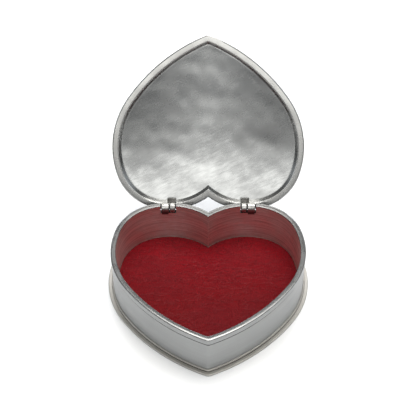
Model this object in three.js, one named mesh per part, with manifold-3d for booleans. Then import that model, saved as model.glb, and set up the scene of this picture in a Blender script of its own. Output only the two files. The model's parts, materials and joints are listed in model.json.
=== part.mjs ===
// A heart-shaped pewter keepsake box with a hinged lid, standing open on its stop.
// Millimetres, +Z up. The origin is the middle of the underside: +Y runs from the point of the
// heart to its two lobes, and the hinge line lies along X across the backs of the lobes.
import * as THREE from 'three';
import { mergeVertices } from 'three/addons/utils/BufferGeometryUtils.js';
import Module from 'manifold-3d';

const wasm = await Module();
wasm.setup();

// ---- Driving dimensions -----------------------------------------------------------------

const BOX_WIDTH = 100; // across the rim band
const BOX_LENGTH = 92; // backs of the lobes to the point, measured before the point is rounded
const BOX_HEIGHT = 26; // underside to the top of the rim band

// The heart is drawn in these proportions and then fitted to the width and length above.
const LOBE_CENTRE_X = 20.5; // centre of each lobe's main arc, from the mirror line
const LOBE_ARC = { radius: 33.5, until: 70 }; // arcs run clockwise to the direction in degrees
const SHOULDER_ARC = { radius: 26, until: 18.5 };
const SIDE_ARC = { radius: 45, until: -35 };
const FLANK_ARC = { radius: 94.5, until: -90 };
const ARC_STEP = 4; // longest chord along an outline
const CLEFT_START = 150; // degrees: the lobe's arc starts past the mirror line and is trimmed there
const PAST_MIRROR = 0.2; // radians: the point's rounding runs on past the mirror line too

const WALL_THICKNESS = 2.6; // rim band, outside to inside
const BAND_HEIGHT = 3.4; // rim band, down from the top of the box
const BAND_STEP = 0.3; // how far the rim band stands proud of the wall under it
const RIM_ROUND = 0.8; // rounding along both top edges of the rim band
const RIM_POINT_RADIUS = 3.6; // corner of the rim band at the point
const WALL_POINT_RADIUS = 1.8; // corner of the wall at the point
const INNER_POINT_RADIUS = 3; // inside corner at the point

const PLATE_THICKNESS = 1; // base plate inside the foot moulding
const FOOT_REACH = 2.4; // foot moulding, out from the rim band's outline
const FOOT_HEIGHT = 2.4;
const FOOT_ROUND = 0.9;
const FOOT_POINT_RADIUS = 3.4;

const CARD_THICKNESS = 0.4; // stiffener under the lining
const LEATHER_THICKNESS = 0.5;
const LINING_GAP = 0.4; // lining edge to the inside of the wall

const LID_OVERHANG = 0.8; // lid frame past the rim band
const LID_CLEARANCE = 0.3; // shut lid above the rim band
const FRAME_WIDTH = 3.9; // lid frame, outside to inside
const FRAME_HEIGHT = 2.4;
const FRAME_ROUND = 0.8;
const PANEL_INSET = 1.3; // lid panel's edge, in from the frame's outside
const PANEL_THICKNESS = 1;
const PANEL_SKIRT = 0.2; // upright edge of the panel's hollow before the dome starts
const PANEL_RISE = 1.6; // dome of the panel above its edge
const PANEL_STEPS = 6; // layers in the dome
const PANEL_CLOSING = 0.94; // how far the layers shrink towards the middle

const HINGE_INNER_X = 17; // near side of each hinge, from the mirror line
const LID_KNUCKLE_WIDTH = 2.7;
const BODY_KNUCKLE_WIDTH = 3.8;
const KNUCKLE_RADIUS = 2.5;
const KNUCKLE_BORE_RADIUS = 0.75;
const KNUCKLE_GAP = 0.6; // between the two knuckles of a hinge, and at their outer ends
const PIN_RADIUS = 0.6;
const AXIS_INSET = 1.6; // hinge axis, in from the backs of the lobes
const AXIS_DEPTH = 2.7; // hinge axis, below the top of the rim band
const NOTCH_CLEARANCE = 0.3; // knuckles to the bottom of the notch cut for them
const TAB_LENGTH = 4.4; // lid leaf's tab, forward of the axis
const TAB_WIDTH = 4.4;
const TAB_THICKNESS = 0.8;
const STOP_GAP = 0.1; // open lid's back edge to the wall it stops at

const FIT_GAP = 0.3; // between touching pieces that are shaped by each other
const ROUND_STEPS = 2; // facets in a rounded edge
const TUBE_STEPS = 28; // facets round a knuckle, bore or pin
const CUT_REACH = 12; // a cutter past what it cuts

// ---- Values worked out from them --------------------------------------------------------

const WALL_TOP = BOX_HEIGHT - BAND_HEIGHT;
const LINING_OFFSET = -WALL_THICKNESS - LINING_GAP;
const FOOT_INNER_OFFSET = FIT_GAP - BAND_STEP;
const LID_UNDERSIDE = BOX_HEIGHT + LID_CLEARANCE;
const FRAME_INNER_OFFSET = LID_OVERHANG - FRAME_WIDTH;
const PANEL_OFFSET = LID_OVERHANG - PANEL_INSET;
const PANEL_BOTTOM = LID_UNDERSIDE + FRAME_HEIGHT + FIT_GAP;
const BODY_KNUCKLE_X = HINGE_INNER_X + KNUCKLE_GAP + LID_KNUCKLE_WIDTH + KNUCKLE_GAP;
const HINGE_OUTER_X = BODY_KNUCKLE_X + BODY_KNUCKLE_WIDTH + KNUCKLE_GAP;
const AXIS_Y = BOX_LENGTH / 2 - AXIS_INSET;
const AXIS_Z = BOX_HEIGHT - AXIS_DEPTH;
const NOTCH_BOTTOM = AXIS_Z - KNUCKLE_RADIUS - NOTCH_CLEARANCE;

// The lid opens until its rounded back edge, seen along the axis, meets the back of the wall.
const EDGE_BACK = AXIS_INSET + LID_OVERHANG - FRAME_ROUND;
const EDGE_ABOVE = AXIS_DEPTH + LID_CLEARANCE + FRAME_ROUND;
const STOP_REACH = AXIS_INSET - BAND_STEP + STOP_GAP + FRAME_ROUND;
const EDGE_REACH = Math.hypot(EDGE_BACK, EDGE_ABOVE);
const OPEN_ANGLE = Math.atan2(EDGE_ABOVE, EDGE_BACK) + Math.acos(STOP_REACH / EDGE_REACH);

// ---- Heart outline ----------------------------------------------------------------------

/** A point on a circle, and the direction out of it, at an angle in radians. */
function onArc(arc, angle) {
  const out = new THREE.Vector2(Math.cos(angle), Math.sin(angle));
  return { point: out.clone().multiplyScalar(arc.radius).add(arc.centre), out };
}

/**
 * The right half's arcs from the cleft to the point, each tangent to the next. Where
 * pointRadius is more than 0, a last arc on the mirror line rounds the point.
 */
function heartArcs(pointRadius) {
  const arcs = [];
  let from = THREE.MathUtils.degToRad(CLEFT_START);
  let centre = new THREE.Vector2(LOBE_CENTRE_X, 0);
  let previous = null;
  for (const { radius, until } of [LOBE_ARC, SHOULDER_ARC, SIDE_ARC, FLANK_ARC]) {
    if (previous) {
      const towards = new THREE.Vector2(Math.cos(from), Math.sin(from));
      centre = previous.centre.clone().addScaledVector(towards, previous.radius - radius);
    }
    const to = THREE.MathUtils.degToRad(until);
    previous = { centre, radius, from, to };
    arcs.push(previous);
    from = to;
  }
  if (pointRadius > 0) {
    const flank = arcs.at(-1);
    const reach = flank.radius - pointRadius;
    const drop = Math.sqrt(reach ** 2 - flank.centre.x ** 2);
    const tip = new THREE.Vector2(0, flank.centre.y - drop);
    flank.to = Math.atan2(tip.y - flank.centre.y, -flank.centre.x);
    arcs.push({ centre: tip, radius: pointRadius, from: flank.to, to: from - PAST_MIRROR });
  }
  return arcs;
}

/** How the proportions are stretched to the box's width and length, and where their middle is. */
function heartFit() {
  const [lobe, , side, flank] = heartArcs(0);
  const halfWidth = side.centre.x + side.radius;
  const pointY = flank.centre.y - Math.sqrt(flank.radius ** 2 - flank.centre.x ** 2);
  return {
    x: BOX_WIDTH / 2 / halfWidth,
    y: BOX_LENGTH / (lobe.radius - pointY),
    middle: (lobe.radius + pointY) / 2,
  };
}

const FIT = heartFit();

/** Where the line from a to b crosses the mirror line. */
function crossing(a, b) {
  return a.clone().lerp(b, a.x / (a.x - b.x)).setX(0);
}

/**
 * The closed heart outline, moved outward by offset, with its point rounded to a radius.
 * Each point goes out along the fitted arc's normal, and what passes the mirror line is cut off.
 */
function heart(offset, pointRadius) {
  const half = [];
  for (const arc of heartArcs(pointRadius - offset)) {
    const turn = arc.from - arc.to;
    const steps = Math.max(2, Math.ceil((turn * (arc.radius + offset)) / ARC_STEP));
    for (let i = half.length ? 1 : 0; i <= steps; i += 1) {
      const { point, out } = onArc(arc, arc.from - (turn * i) / steps);
      const normal = new THREE.Vector2(out.x / FIT.x, out.y / FIT.y).normalize();
      point.y -= FIT.middle;
      half.push(point.multiply(new THREE.Vector2(FIT.x, FIT.y)).addScaledVector(normal, offset));
    }
  }
  const first = half.findIndex((p) => p.x > 0);
  const last = half.findIndex((p, i) => i > first && p.x <= 0);
  const right = half.slice(first, last);
  const cleft = crossing(half[first - 1], half[first]);
  const tip = crossing(half[last - 1], half[last]);
  const left = right.map((p) => new THREE.Vector2(-p.x, p.y)).reverse();
  return [cleft, ...right, tip, ...left];
}

// ---- Solids -----------------------------------------------------------------------------

/** A geometry as a manifold solid. */
function solid(geometry) {
  const bare = geometry.clone();
  bare.deleteAttribute('normal');
  bare.deleteAttribute('uv');
  const merged = mergeVertices(bare, 1e-5);
  const vertProperties = new Float32Array(merged.attributes.position.array);
  const triVerts = new Uint32Array(merged.index.array);
  return new wasm.Manifold(new wasm.Mesh({ numProp: 3, vertProperties, triVerts }));
}

/** A manifold solid as a flat-shaded geometry. */
function toGeometry(manifold) {
  const mesh = manifold.getMesh();
  const geometry = new THREE.BufferGeometry();
  geometry.setAttribute('position', new THREE.BufferAttribute(mesh.vertProperties, 3));
  geometry.setIndex(new THREE.BufferAttribute(mesh.triVerts, 1));
  return geometry;
}

/** An outline raised from low to high, with rounded outer edges and an optional hole through it. */
function prism(outline, low, high, { hole = null, round = 0 } = {}) {
  const geometry = new THREE.ExtrudeGeometry(new THREE.Shape(outline), {
    depth: high - low - 2 * round,
    bevelEnabled: round > 0,
    bevelThickness: round,
    bevelSize: round,
    bevelOffset: -round,
    bevelSegments: ROUND_STEPS,
  });
  const body = solid(geometry.translate(0, 0, low + round));
  return hole ? body.subtract(prism(hole, low - CUT_REACH, high + CUT_REACH)) : body;
}

/**
 * A heart-shaped dome: an upright skirt, then layers that shrink towards the middle as they
 * rise by rise * (1 - scale^2).
 */
function dome(outline, low, skirt, rise) {
  const layers = PANEL_STEPS + 1;
  const shape = new THREE.Shape(outline);
  const geometry = new THREE.ExtrudeGeometry(shape, { depth: layers, steps: layers, bevelEnabled: false });
  const position = geometry.attributes.position;
  for (let i = 0; i < position.count; i += 1) {
    const layer = Math.round(position.getZ(i));
    const scale = 1 - (PANEL_CLOSING * Math.max(layer - 1, 0)) / PANEL_STEPS;
    const height = layer === 0 ? 0 : skirt + rise * (1 - scale ** 2);
    position.setXYZ(i, position.getX(i) * scale, position.getY(i) * scale, low + height);
  }
  return solid(geometry);
}

/** A box between two corners. */
function block(low, high) {
  const size = new THREE.Vector3().subVectors(high, low);
  const centre = new THREE.Vector3().addVectors(low, high).multiplyScalar(0.5);
  return solid(new THREE.BoxGeometry(...size).translate(...centre));
}

/** A round bar along X, from one x to another, about a centre given as y and z. */
function bar(radius, fromX, toX, y, z) {
  const geometry = new THREE.CylinderGeometry(radius, radius, toX - fromX, TUBE_STEPS);
  geometry.rotateZ(Math.PI / 2);
  return solid(geometry.translate((fromX + toX) / 2, y, z));
}

/** A right-hand solid moved to the left side when side is -1. */
function onSide(manifold, side) {
  return side > 0 ? manifold : manifold.mirror([1, 0, 0]);
}

// ---- Finishes ---------------------------------------------------------------------------

const FINISHES = {
  bright_pewter: { color: 0xb9bab8, roughness: 0.25, metalness: 1 },
  satin_pewter: { color: 0xa6a9aa, roughness: 0.4, metalness: 1 },
  hinge_pewter: { color: 0x9c9c99, roughness: 0.3, metalness: 1 },
  red_leather: { color: 0x7d1c20, roughness: 0.55, metalness: 0 },
  grey_card: { color: 0x8c867c, roughness: 0.9, metalness: 0 },
};

/** A named mesh of a solid in one of the finishes. */
function piece(name, manifold, finish) {
  const mesh = new THREE.Mesh(toGeometry(manifold), new THREE.MeshStandardMaterial(FINISHES[finish]));
  mesh.name = name;
  return mesh;
}

// ---- Box --------------------------------------------------------------------------------

/** The notch for one hinge: through the wall, and open at the top. */
function hingeNotch(side) {
  const low = new THREE.Vector3(HINGE_INNER_X, AXIS_Y - CUT_REACH, NOTCH_BOTTOM);
  const high = new THREE.Vector3(HINGE_OUTER_X, AXIS_Y + CUT_REACH, BOX_HEIGHT + CUT_REACH);
  return onSide(block(low, high), side);
}

/** The flat base with the half-round foot moulding that runs round the wall. */
function basePlate() {
  const outline = heart(FOOT_REACH, FOOT_POINT_RADIUS);
  const hole = heart(FOOT_INNER_OFFSET, WALL_POINT_RADIUS + FIT_GAP);
  const moulding = prism(outline, 0, FOOT_HEIGHT, { hole, round: FOOT_ROUND });
  const sheet = prism(heart(FOOT_REACH - FOOT_ROUND, FOOT_POINT_RADIUS), 0, PLATE_THICKNESS);
  return moulding.add(sheet);
}

/** The upright wall between the base and the rim band. */
function bodyWall() {
  const outline = heart(-BAND_STEP, WALL_POINT_RADIUS);
  const hole = heart(-WALL_THICKNESS, INNER_POINT_RADIUS);
  const wall = prism(outline, PLATE_THICKNESS, WALL_TOP, { hole });
  return wall.subtract(hingeNotch(1)).subtract(hingeNotch(-1));
}

/**
 * The band soldered round the top of the wall, rounded along its rim. The hinge notches part it
 * into a short strip over the cleft and a long one round the sides and the point.
 */
function rimBand() {
  const outline = heart(0, RIM_POINT_RADIUS);
  const hole = heart(-WALL_THICKNESS, INNER_POINT_RADIUS);
  const middle = WALL_TOP + BAND_HEIGHT / 2;
  const lower = prism(outline, WALL_TOP, middle, { hole });
  const upper = prism(outline, middle - RIM_ROUND, BOX_HEIGHT, { hole, round: RIM_ROUND });
  const band = lower.add(upper).subtract(hingeNotch(1)).subtract(hingeNotch(-1));
  const low = new THREE.Vector3(-HINGE_INNER_X - FIT_GAP, 0, 0);
  const high = new THREE.Vector3(HINGE_INNER_X + FIT_GAP, BOX_LENGTH, BOX_HEIGHT + CUT_REACH);
  const backMiddle = block(low, high);
  return { long: band.subtract(backMiddle), cleft: band.intersect(backMiddle) };
}

/** A layer of the floor lining. */
function lining(low, thickness) {
  return prism(heart(LINING_OFFSET, INNER_POINT_RADIUS), low, low + thickness);
}

/** The fixed half of a hinge: a knuckle on a seat that stands in the notch. */
function bodyLeaf(side) {
  const end = BODY_KNUCKLE_X + BODY_KNUCKLE_WIDTH;
  const knuckle = bar(KNUCKLE_RADIUS, BODY_KNUCKLE_X, end, AXIS_Y, AXIS_Z);
  const seatFront = AXIS_Y + AXIS_INSET - WALL_THICKNESS;
  const low = new THREE.Vector3(BODY_KNUCKLE_X, seatFront, NOTCH_BOTTOM);
  const high = new THREE.Vector3(end, AXIS_Y, AXIS_Z);
  const bore = bar(KNUCKLE_BORE_RADIUS, HINGE_INNER_X, HINGE_OUTER_X, AXIS_Y, AXIS_Z);
  return onSide(knuckle.add(block(low, high)).subtract(bore), side);
}

/** The pin through both knuckles of a hinge. */
function hingePin(side) {
  const inner = HINGE_INNER_X + KNUCKLE_GAP / 2;
  const outer = HINGE_OUTER_X - KNUCKLE_GAP / 2;
  return onSide(bar(PIN_RADIUS, inner, outer, AXIS_Y, AXIS_Z), side);
}

// ---- Lid, drawn shut --------------------------------------------------------------------

/** The flat-faced frame round the lid. */
function lidFrame() {
  const outline = heart(LID_OVERHANG, RIM_POINT_RADIUS);
  const hole = heart(FRAME_INNER_OFFSET, INNER_POINT_RADIUS);
  return prism(outline, LID_UNDERSIDE, LID_UNDERSIDE + FRAME_HEIGHT, { hole, round: FRAME_ROUND });
}

/** The domed sheet on top of the frame, hollow underneath. */
function lidPanel() {
  const outside = dome(heart(PANEL_OFFSET, RIM_POINT_RADIUS), PANEL_BOTTOM, PANEL_THICKNESS, PANEL_RISE);
  const hollowOutline = heart(FRAME_INNER_OFFSET, INNER_POINT_RADIUS);
  const hollow = dome(hollowOutline, PANEL_BOTTOM - PANEL_SKIRT, 2 * PANEL_SKIRT, PANEL_RISE);
  return outside.subtract(hollow);
}

/** The moving half of a hinge: a knuckle with a flat tab that carries the lid frame. */
function lidLeaf(side) {
  const start = HINGE_INNER_X + KNUCKLE_GAP;
  const knuckle = bar(KNUCKLE_RADIUS, start, start + LID_KNUCKLE_WIDTH, AXIS_Y, AXIS_Z);
  const tabTop = LID_UNDERSIDE - FIT_GAP;
  const tabStart = HINGE_INNER_X + NOTCH_CLEARANCE;
  const tabBottom = tabTop - TAB_THICKNESS - AXIS_Z;
  const tabClear = Math.sqrt(Math.max(KNUCKLE_RADIUS ** 2 - tabBottom ** 2, 0)) + NOTCH_CLEARANCE;
  const low = new THREE.Vector3(tabStart, AXIS_Y - TAB_LENGTH, tabTop - TAB_THICKNESS);
  const high = new THREE.Vector3(tabStart + TAB_WIDTH, AXIS_Y - tabClear, tabTop);
  const webLow = new THREE.Vector3(start, AXIS_Y - KNUCKLE_RADIUS, AXIS_Z);
  const webHigh = new THREE.Vector3(start + LID_KNUCKLE_WIDTH, AXIS_Y, tabTop - TAB_THICKNESS / 2);
  const bore = bar(KNUCKLE_BORE_RADIUS, HINGE_INNER_X, HINGE_OUTER_X, AXIS_Y, AXIS_Z);
  return onSide(knuckle.add(block(low, high)).add(block(webLow, webHigh)).subtract(bore), side);
}

// ---- Assembly ---------------------------------------------------------------------------

const box = new THREE.Group();
const band = rimBand();
box.add(piece('base_plate', basePlate(), 'bright_pewter'));
box.add(piece('body_wall', bodyWall(), 'satin_pewter'));
box.add(piece('rim_band', band.long, 'bright_pewter'));
box.add(piece('rim_band_cleft', band.cleft, 'bright_pewter'));
box.add(piece('floor_card', lining(PLATE_THICKNESS, CARD_THICKNESS), 'grey_card'));
box.add(piece('floor_leather', lining(PLATE_THICKNESS + CARD_THICKNESS, LEATHER_THICKNESS), 'red_leather'));

const lid = new THREE.Group();
lid.add(piece('lid_frame', lidFrame(), 'bright_pewter'));
lid.add(piece('lid_panel', lidPanel(), 'satin_pewter'));

for (const [side, word] of [[-1, 'left'], [1, 'right']]) {
  box.add(piece(`hinge_body_leaf_${word}`, bodyLeaf(side), 'hinge_pewter'));
  box.add(piece(`hinge_pin_${word}`, hingePin(side), 'hinge_pewter'));
  lid.add(piece(`hinge_lid_leaf_${word}`, lidLeaf(side), 'hinge_pewter'));
}

// The lid turns back about the hinge axis from shut to its stop.
for (const mesh of lid.children) {
  mesh.position.set(0, -AXIS_Y, -AXIS_Z);
}
lid.position.set(0, AXIS_Y, AXIS_Z);
lid.rotation.x = -OPEN_ANGLE;
box.add(lid);

export default box;
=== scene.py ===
"""A heart-shaped pewter keepsake box, open, with a red leather floor.

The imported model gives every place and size. This script lays finer surfaces over its nodes,
dresses them, and sets up the floor, the lights and the camera. Lengths are in metres, with +Z up,
+Y from the point of the heart to its lobes, and the origin in the middle of the underside.
"""

import json
import logging
import math
from dataclasses import dataclass, field
from enum import Enum
from typing import Callable, ClassVar, Optional, Sequence

import bmesh
import bpy
import numpy as np
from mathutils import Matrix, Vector


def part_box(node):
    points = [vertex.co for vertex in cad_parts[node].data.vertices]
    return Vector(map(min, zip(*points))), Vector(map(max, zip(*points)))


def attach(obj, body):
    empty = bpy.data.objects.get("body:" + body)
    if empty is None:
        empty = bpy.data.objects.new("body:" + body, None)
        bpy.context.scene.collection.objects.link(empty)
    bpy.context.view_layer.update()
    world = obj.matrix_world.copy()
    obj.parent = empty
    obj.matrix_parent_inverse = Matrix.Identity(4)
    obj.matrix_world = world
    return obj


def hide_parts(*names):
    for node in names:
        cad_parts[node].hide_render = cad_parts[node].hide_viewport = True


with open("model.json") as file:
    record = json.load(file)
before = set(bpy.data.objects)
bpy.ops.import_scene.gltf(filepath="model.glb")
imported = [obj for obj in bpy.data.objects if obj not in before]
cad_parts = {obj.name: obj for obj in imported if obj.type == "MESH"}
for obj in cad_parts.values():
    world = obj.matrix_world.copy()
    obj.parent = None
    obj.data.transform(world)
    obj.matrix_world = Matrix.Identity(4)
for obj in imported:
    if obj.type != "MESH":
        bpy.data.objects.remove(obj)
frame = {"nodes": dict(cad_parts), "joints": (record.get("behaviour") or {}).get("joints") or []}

LOG = logging.getLogger("keepsake_box")
MM = 0.001
SEED = 20
UV_NAME = "along_and_up"
# The mask of edge wear, which on the lid's hollow and the inside also carries a painted sheen.
WEAR_AND_SHEEN_NAME = "edge_wear"
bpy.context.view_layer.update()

# Edges that turn by more than the first are sharp, and by more than the second are bevelled.
SHARP_DEG = 35.0
BEVEL_FROM_DEG = 40.0

# How much of a side a rounded corner may take up, and the scale of the last outline before a pole.
FILLET_SHARE = 0.49
INNERMOST = 0.012

# The turn that sets marks aslant over the open lid's inside, and the squeeze that draws noise out.
ASLANT_AXIS = (0.0, -0.82, 0.572)
ASLANT_ANGLE = -0.42
DRAWN_OUT = (0.22, 1.0, 1.0)

# A closed shell: its points, and the point numbers of each face.
Shell = tuple[np.ndarray, list[list[int]]]


# ---- Surfaces ---------------------------------------------------------------------------------


class HeartOutline:
    """A heart of arcs that run into each other, fitted to a width and a length.

    The right half goes clockwise from the cleft: lobe, shoulder, side and flank arcs, and where
    it is asked for, a small arc on the mirror line that rounds the point. Each arc is a circle's
    points c + r (cos a, sin a), stretched by the fit, and moved out along the stretched normal.
    """

    PROPORTIONS = ((33.5, 70.0), (26.0, 18.5), (45.0, -35.0), (94.5, -90.0))
    LOBE_CENTRE_X = 20.5
    START_DEG = 150.0
    OVERRUN = 0.2
    FINE = 400

    def __init__(self, width: float, length: float) -> None:
        """Fits the proportions.

        Args:
            width: the heart's width.
            length: from the backs of the lobes to the point, before the point is rounded.
        """
        arcs = self._arcs(0.0)
        side, flank = arcs[2], arcs[3]
        point_y = flank[0][1] - math.sqrt(flank[1] ** 2 - flank[0][0] ** 2)
        lobe_radius = arcs[0][1]
        self.fit = np.array([width / 2 / (side[0][0] + side[1]), length / (lobe_radius - point_y)])
        self.middle = (lobe_radius + point_y) / 2

    def _arcs(self, point_radius: float) -> list[tuple[np.ndarray, float, float, float]]:
        """The arcs as (centre, radius, first angle, last angle), in the outline's proportions.

        Args:
            point_radius: the radius of the arc that rounds the point, or 0 for none.

        Returns:
            Each arc as its centre, radius, first angle and last angle.
        """
        arcs: list[tuple[np.ndarray, float, float, float]] = []
        centre = np.array([self.LOBE_CENTRE_X, 0.0])
        start = math.radians(self.START_DEG)
        for radius, until in self.PROPORTIONS:
            if arcs:
                step = arcs[-1][1] - radius
                centre = centre + step * np.array([math.cos(start), math.sin(start)])
            stop = math.radians(until)
            arcs.append((centre, radius, start, stop))
            start = stop
        if point_radius > 0:
            centre, radius, first, _ = arcs[-1]
            tip_y = centre[1] - math.sqrt((radius - point_radius) ** 2 - centre[0] ** 2)
            turn = math.atan2(tip_y - centre[1], -centre[0])
            arcs[-1] = (centre, radius, first, turn)
            arcs.append((np.array([0.0, tip_y]), point_radius, turn, -math.pi / 2 - self.OVERRUN))
        return arcs

    def _half(self, offset: float, point_radius: float) -> np.ndarray:
        """The right half, moved out by offset and trimmed at the mirror line.

        Args:
            offset: how far outside the fitted heart it lies.
            point_radius: the radius at the point before the offset.

        Returns:
            Rows of x and y, from the cleft to the point.
        """
        runs = []
        for centre, radius, first, last in self._arcs(point_radius / MM):
            angle = np.linspace(first, last, self.FINE)
            out = np.stack([np.cos(angle), np.sin(angle)], 1)
            normal = out / self.fit
            normal /= np.linalg.norm(normal, axis=1, keepdims=True)
            runs.append((centre + radius * out - [0, self.middle]) * self.fit + offset * normal)
        half = np.concatenate(runs)
        inside = np.flatnonzero(half[:, 0] > 0)
        first, last = inside[0], inside[-1]
        ends = []
        for out_i, in_i in ((first - 1, first), (last + 1, last)):
            a, b = half[out_i], half[in_i]
            ends.append(a + (b - a) * a[0] / (a[0] - b[0]))
        return np.vstack([ends[0], half[first : last + 1], ends[1]])

    def loop(self, offset: float, point_radius: float, count: int, soften: float = 0.0) -> np.ndarray:
        """A closed outline with evenly spaced points.

        Args:
            offset: how far outside the fitted heart it lies.
            point_radius: the radius at the point after the offset.
            count: how many points it has, an even number.
            soften: how far the corners at the cleft and the point are blurred along the outline.

        Returns:
            An array of count rows of x and y, from the cleft clockwise seen from above.
        """
        half = self._half(offset, max(point_radius - offset, 0.0))
        reach = np.concatenate([[0], np.cumsum(np.linalg.norm(np.diff(half, axis=0), axis=1))])
        places = np.linspace(0, reach[-1], count // 2 + 1)
        right = np.stack([np.interp(places, reach, half[:, k]) for k in (0, 1)], 1)
        right[[0, -1], 0] = 0
        both = np.vstack([right, right[-2:0:-1] * [-1, 1]])
        return blurred(both, soften, 2 * reach[-1]) if soften > 0 else both


def blurred(closed: np.ndarray, sigma: float, length: float) -> np.ndarray:
    """A closed line blurred along itself by a Gaussian: each frequency f times exp(-2 (pi f s)^2).

    Args:
        closed: rows of x and y.
        sigma: the Gaussian's s, in metres.
        length: the line's length.

    Returns:
        The blurred rows.
    """
    frequency = np.fft.fftfreq(len(closed), length / len(closed))[:, None]
    spectrum = np.fft.fft(closed, axis=0) * np.exp(-2 * (np.pi * frequency * sigma) ** 2)
    return np.fft.ifft(spectrum, axis=0).real


def filleted(corners: Sequence[tuple[float, ...]], steps: int = 5) -> np.ndarray:
    """A closed profile whose corners are rounded.

    Each corner (across, up, radius, finish) becomes a curve q(t) = (1-t)^2 a + 2 t (1-t) c + t^2 b
    between the points a and b that lie radius away along its two sides. The finish is the
    material number from that corner on, and may be left out where it is 0.

    Args:
        corners: the corners in order.
        steps: how many sides each rounded corner gets.

    Returns:
        Rows of across, up, wear and finish, where wear is 1 in the middle of a rounded corner.
    """
    points = np.array([c[:2] for c in corners])
    rows = []
    for i, (corner, given) in enumerate(zip(points, corners)):
        radius, finish = given[2], given[3] if len(given) > 3 else 0.0
        if radius <= 0:
            rows.append(np.array([[*corner, 0.0, finish]]))
            continue
        sides = [points[i - 1] - corner, points[(i + 1) % len(points)] - corner]
        spans = [(s, np.linalg.norm(s)) for s in sides]
        a, b = (corner + s / span * min(radius, FILLET_SHARE * span) for s, span in spans)
        t = np.linspace(0, 1, steps + 1)[:, None]
        curve = (1 - t) ** 2 * a + 2 * t * (1 - t) * corner + t**2 * b
        rows.append(np.hstack([curve, np.sin(np.pi * t), np.full_like(t, finish)]))
    return np.vstack(rows)


def refined(profile: np.ndarray, step: float, closed: bool = True) -> np.ndarray:
    """The same profile with extra rows, so that none of its sides is longer than step.

    Args:
        profile: rows of across, up, wear and finish.
        step: the longest side allowed.
        closed: whether the last row joins the first.

    Returns:
        The rows with the new ones between them, each with the finish of the row before it.
    """
    end = np.vstack([profile, profile[:1]]) if closed else profile
    length = np.linalg.norm(np.diff(end[:, :2], axis=0), axis=1)
    pieces = []
    for start, stop, side in zip(end[:-1], end[1:], length):
        parts = max(1, int(math.ceil(side / step)))
        share = np.arange(parts)[:, None] / parts
        piece = start + (stop - start) * share
        piece[:, 3] = start[3]
        pieces.append(piece)
    if not closed:
        pieces.append(end[-1:])
    return np.vstack(pieces)


def ripple(x: np.ndarray, y: np.ndarray, waves: np.ndarray) -> np.ndarray:
    """A sum of sine waves: each row of waves is (cycles per metre in x, in y, phase, height)."""
    phase = 2 * np.pi * (x[..., None] * waves[:, 0] + y[..., None] * waves[:, 1]) + waves[:, 2]
    return (np.sin(phase) * waves[:, 3]).sum(-1)


def random_waves(
    rng: np.random.Generator, count: int, longest: float, shortest: float, height: float
) -> np.ndarray:
    """Waves in every direction between two wavelengths, the longer ones higher, for ripple().

    Args:
        rng: the source of the random draws.
        count: how many waves.
        longest: the longest wavelength.
        shortest: the shortest wavelength.
        height: about how high they reach together.

    Returns:
        Rows of cycles per metre in x and in y, phase, and height.
    """
    length = np.exp(rng.uniform(np.log(shortest), np.log(longest), count))
    angle = rng.uniform(0, np.pi, count)
    phase = rng.uniform(0, 2 * np.pi, count)
    size = height * length / length.max() / math.sqrt(count / 2)
    return np.stack([np.cos(angle) / length, np.sin(angle) / length, phase, size], 1)


@dataclass
class Lofted:
    """Rows of points of one length, joined into a closed surface.

    Attributes:
        rows: an array of rows, columns and x, y, z. Columns close on themselves.
        wear: how worn each row, or each point, is, or how strong its painted sheen, from 0 to 1.
        tube: whether the last row joins the first. If not, a pole closes each end.
        finish_of_row: the material number of the faces after each row.
    """

    rows: np.ndarray
    wear: np.ndarray
    tube: bool = True
    finish_of_row: Optional[np.ndarray] = None

    def build(self, name: str, sharp_deg: float = SHARP_DEG) -> bpy.types.Object:
        """The surface as an object with its UV map, in metres along the columns and the rows.

        Args:
            name: the piece's name.
            sharp_deg: edges that turn by more than this are sharp.

        Returns:
            The object, linked to the scene.
        """
        n_rows, n_cols, _ = self.rows.shape
        points = self.rows.reshape(-1, 3)
        wear = self.wear.ravel() if self.wear.ndim == 2 else np.repeat(self.wear, n_cols)
        around = np.linalg.norm(np.roll(self.rows, -1, 1) - self.rows, axis=2)
        u = np.concatenate([[0], np.cumsum(around.max(0))])
        last = self.rows if not self.tube else np.concatenate([self.rows, self.rows[:1]])
        v = np.concatenate([[0], np.cumsum(np.linalg.norm(np.diff(last, axis=0), axis=2).mean(1))])
        i = np.arange(n_rows if self.tube else n_rows - 1)[:, None]
        j = np.arange(n_cols)[None, :]
        here, there = i * n_cols + j, i * n_cols + (j + 1) % n_cols
        step = ((i + 1) % n_rows) * n_cols
        quads = np.stack([here, there, step + (j + 1) % n_cols, step + j], -1).reshape(-1, 4)
        corners = [(j, i), (j + 1, i), (j + 1, i + 1), (j, i + 1)]
        shape = (len(i), n_cols)
        spread = [(np.broadcast_to(u[a], shape), np.broadcast_to(v[b], shape)) for a, b in corners]
        uv = np.stack([np.stack(pair, -1) for pair in spread], 2).reshape(-1, 2)
        finish = np.zeros(n_rows, int) if self.finish_of_row is None else self.finish_of_row
        of_face = np.repeat(finish[: len(i)], n_cols)
        faces = quads.tolist()
        if not self.tube:
            poles = self.rows[[0, -1]].mean(1)
            points = np.vstack([points, poles])
            wear = np.concatenate([wear, [wear[0], wear[-1]]])
            k = np.arange(n_cols)
            for pole, row, height in ((0, 0, v[0]), (1, n_rows - 1, v[-1])):
                rim = row * n_cols
                fan = [np.full(n_cols, len(points) - 2 + pole), rim + k, rim + (k + 1) % n_cols]
                fan = np.stack(fan if pole else fan[::-1], 1)
                faces += fan.tolist()
                fan_u = np.stack([u[k], u[k], u[k + 1]] if pole else [u[k + 1], u[k], u[k]], 1)
                uv = np.vstack([uv, np.stack([fan_u, np.full_like(fan_u, height)], -1).reshape(-1, 2)])
                of_face = np.concatenate([of_face, np.full(n_cols, finish[min(row, len(finish) - 1)])])
        return mesh_object(name, points, faces, uv, wear, of_face, sharp_deg)


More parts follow.
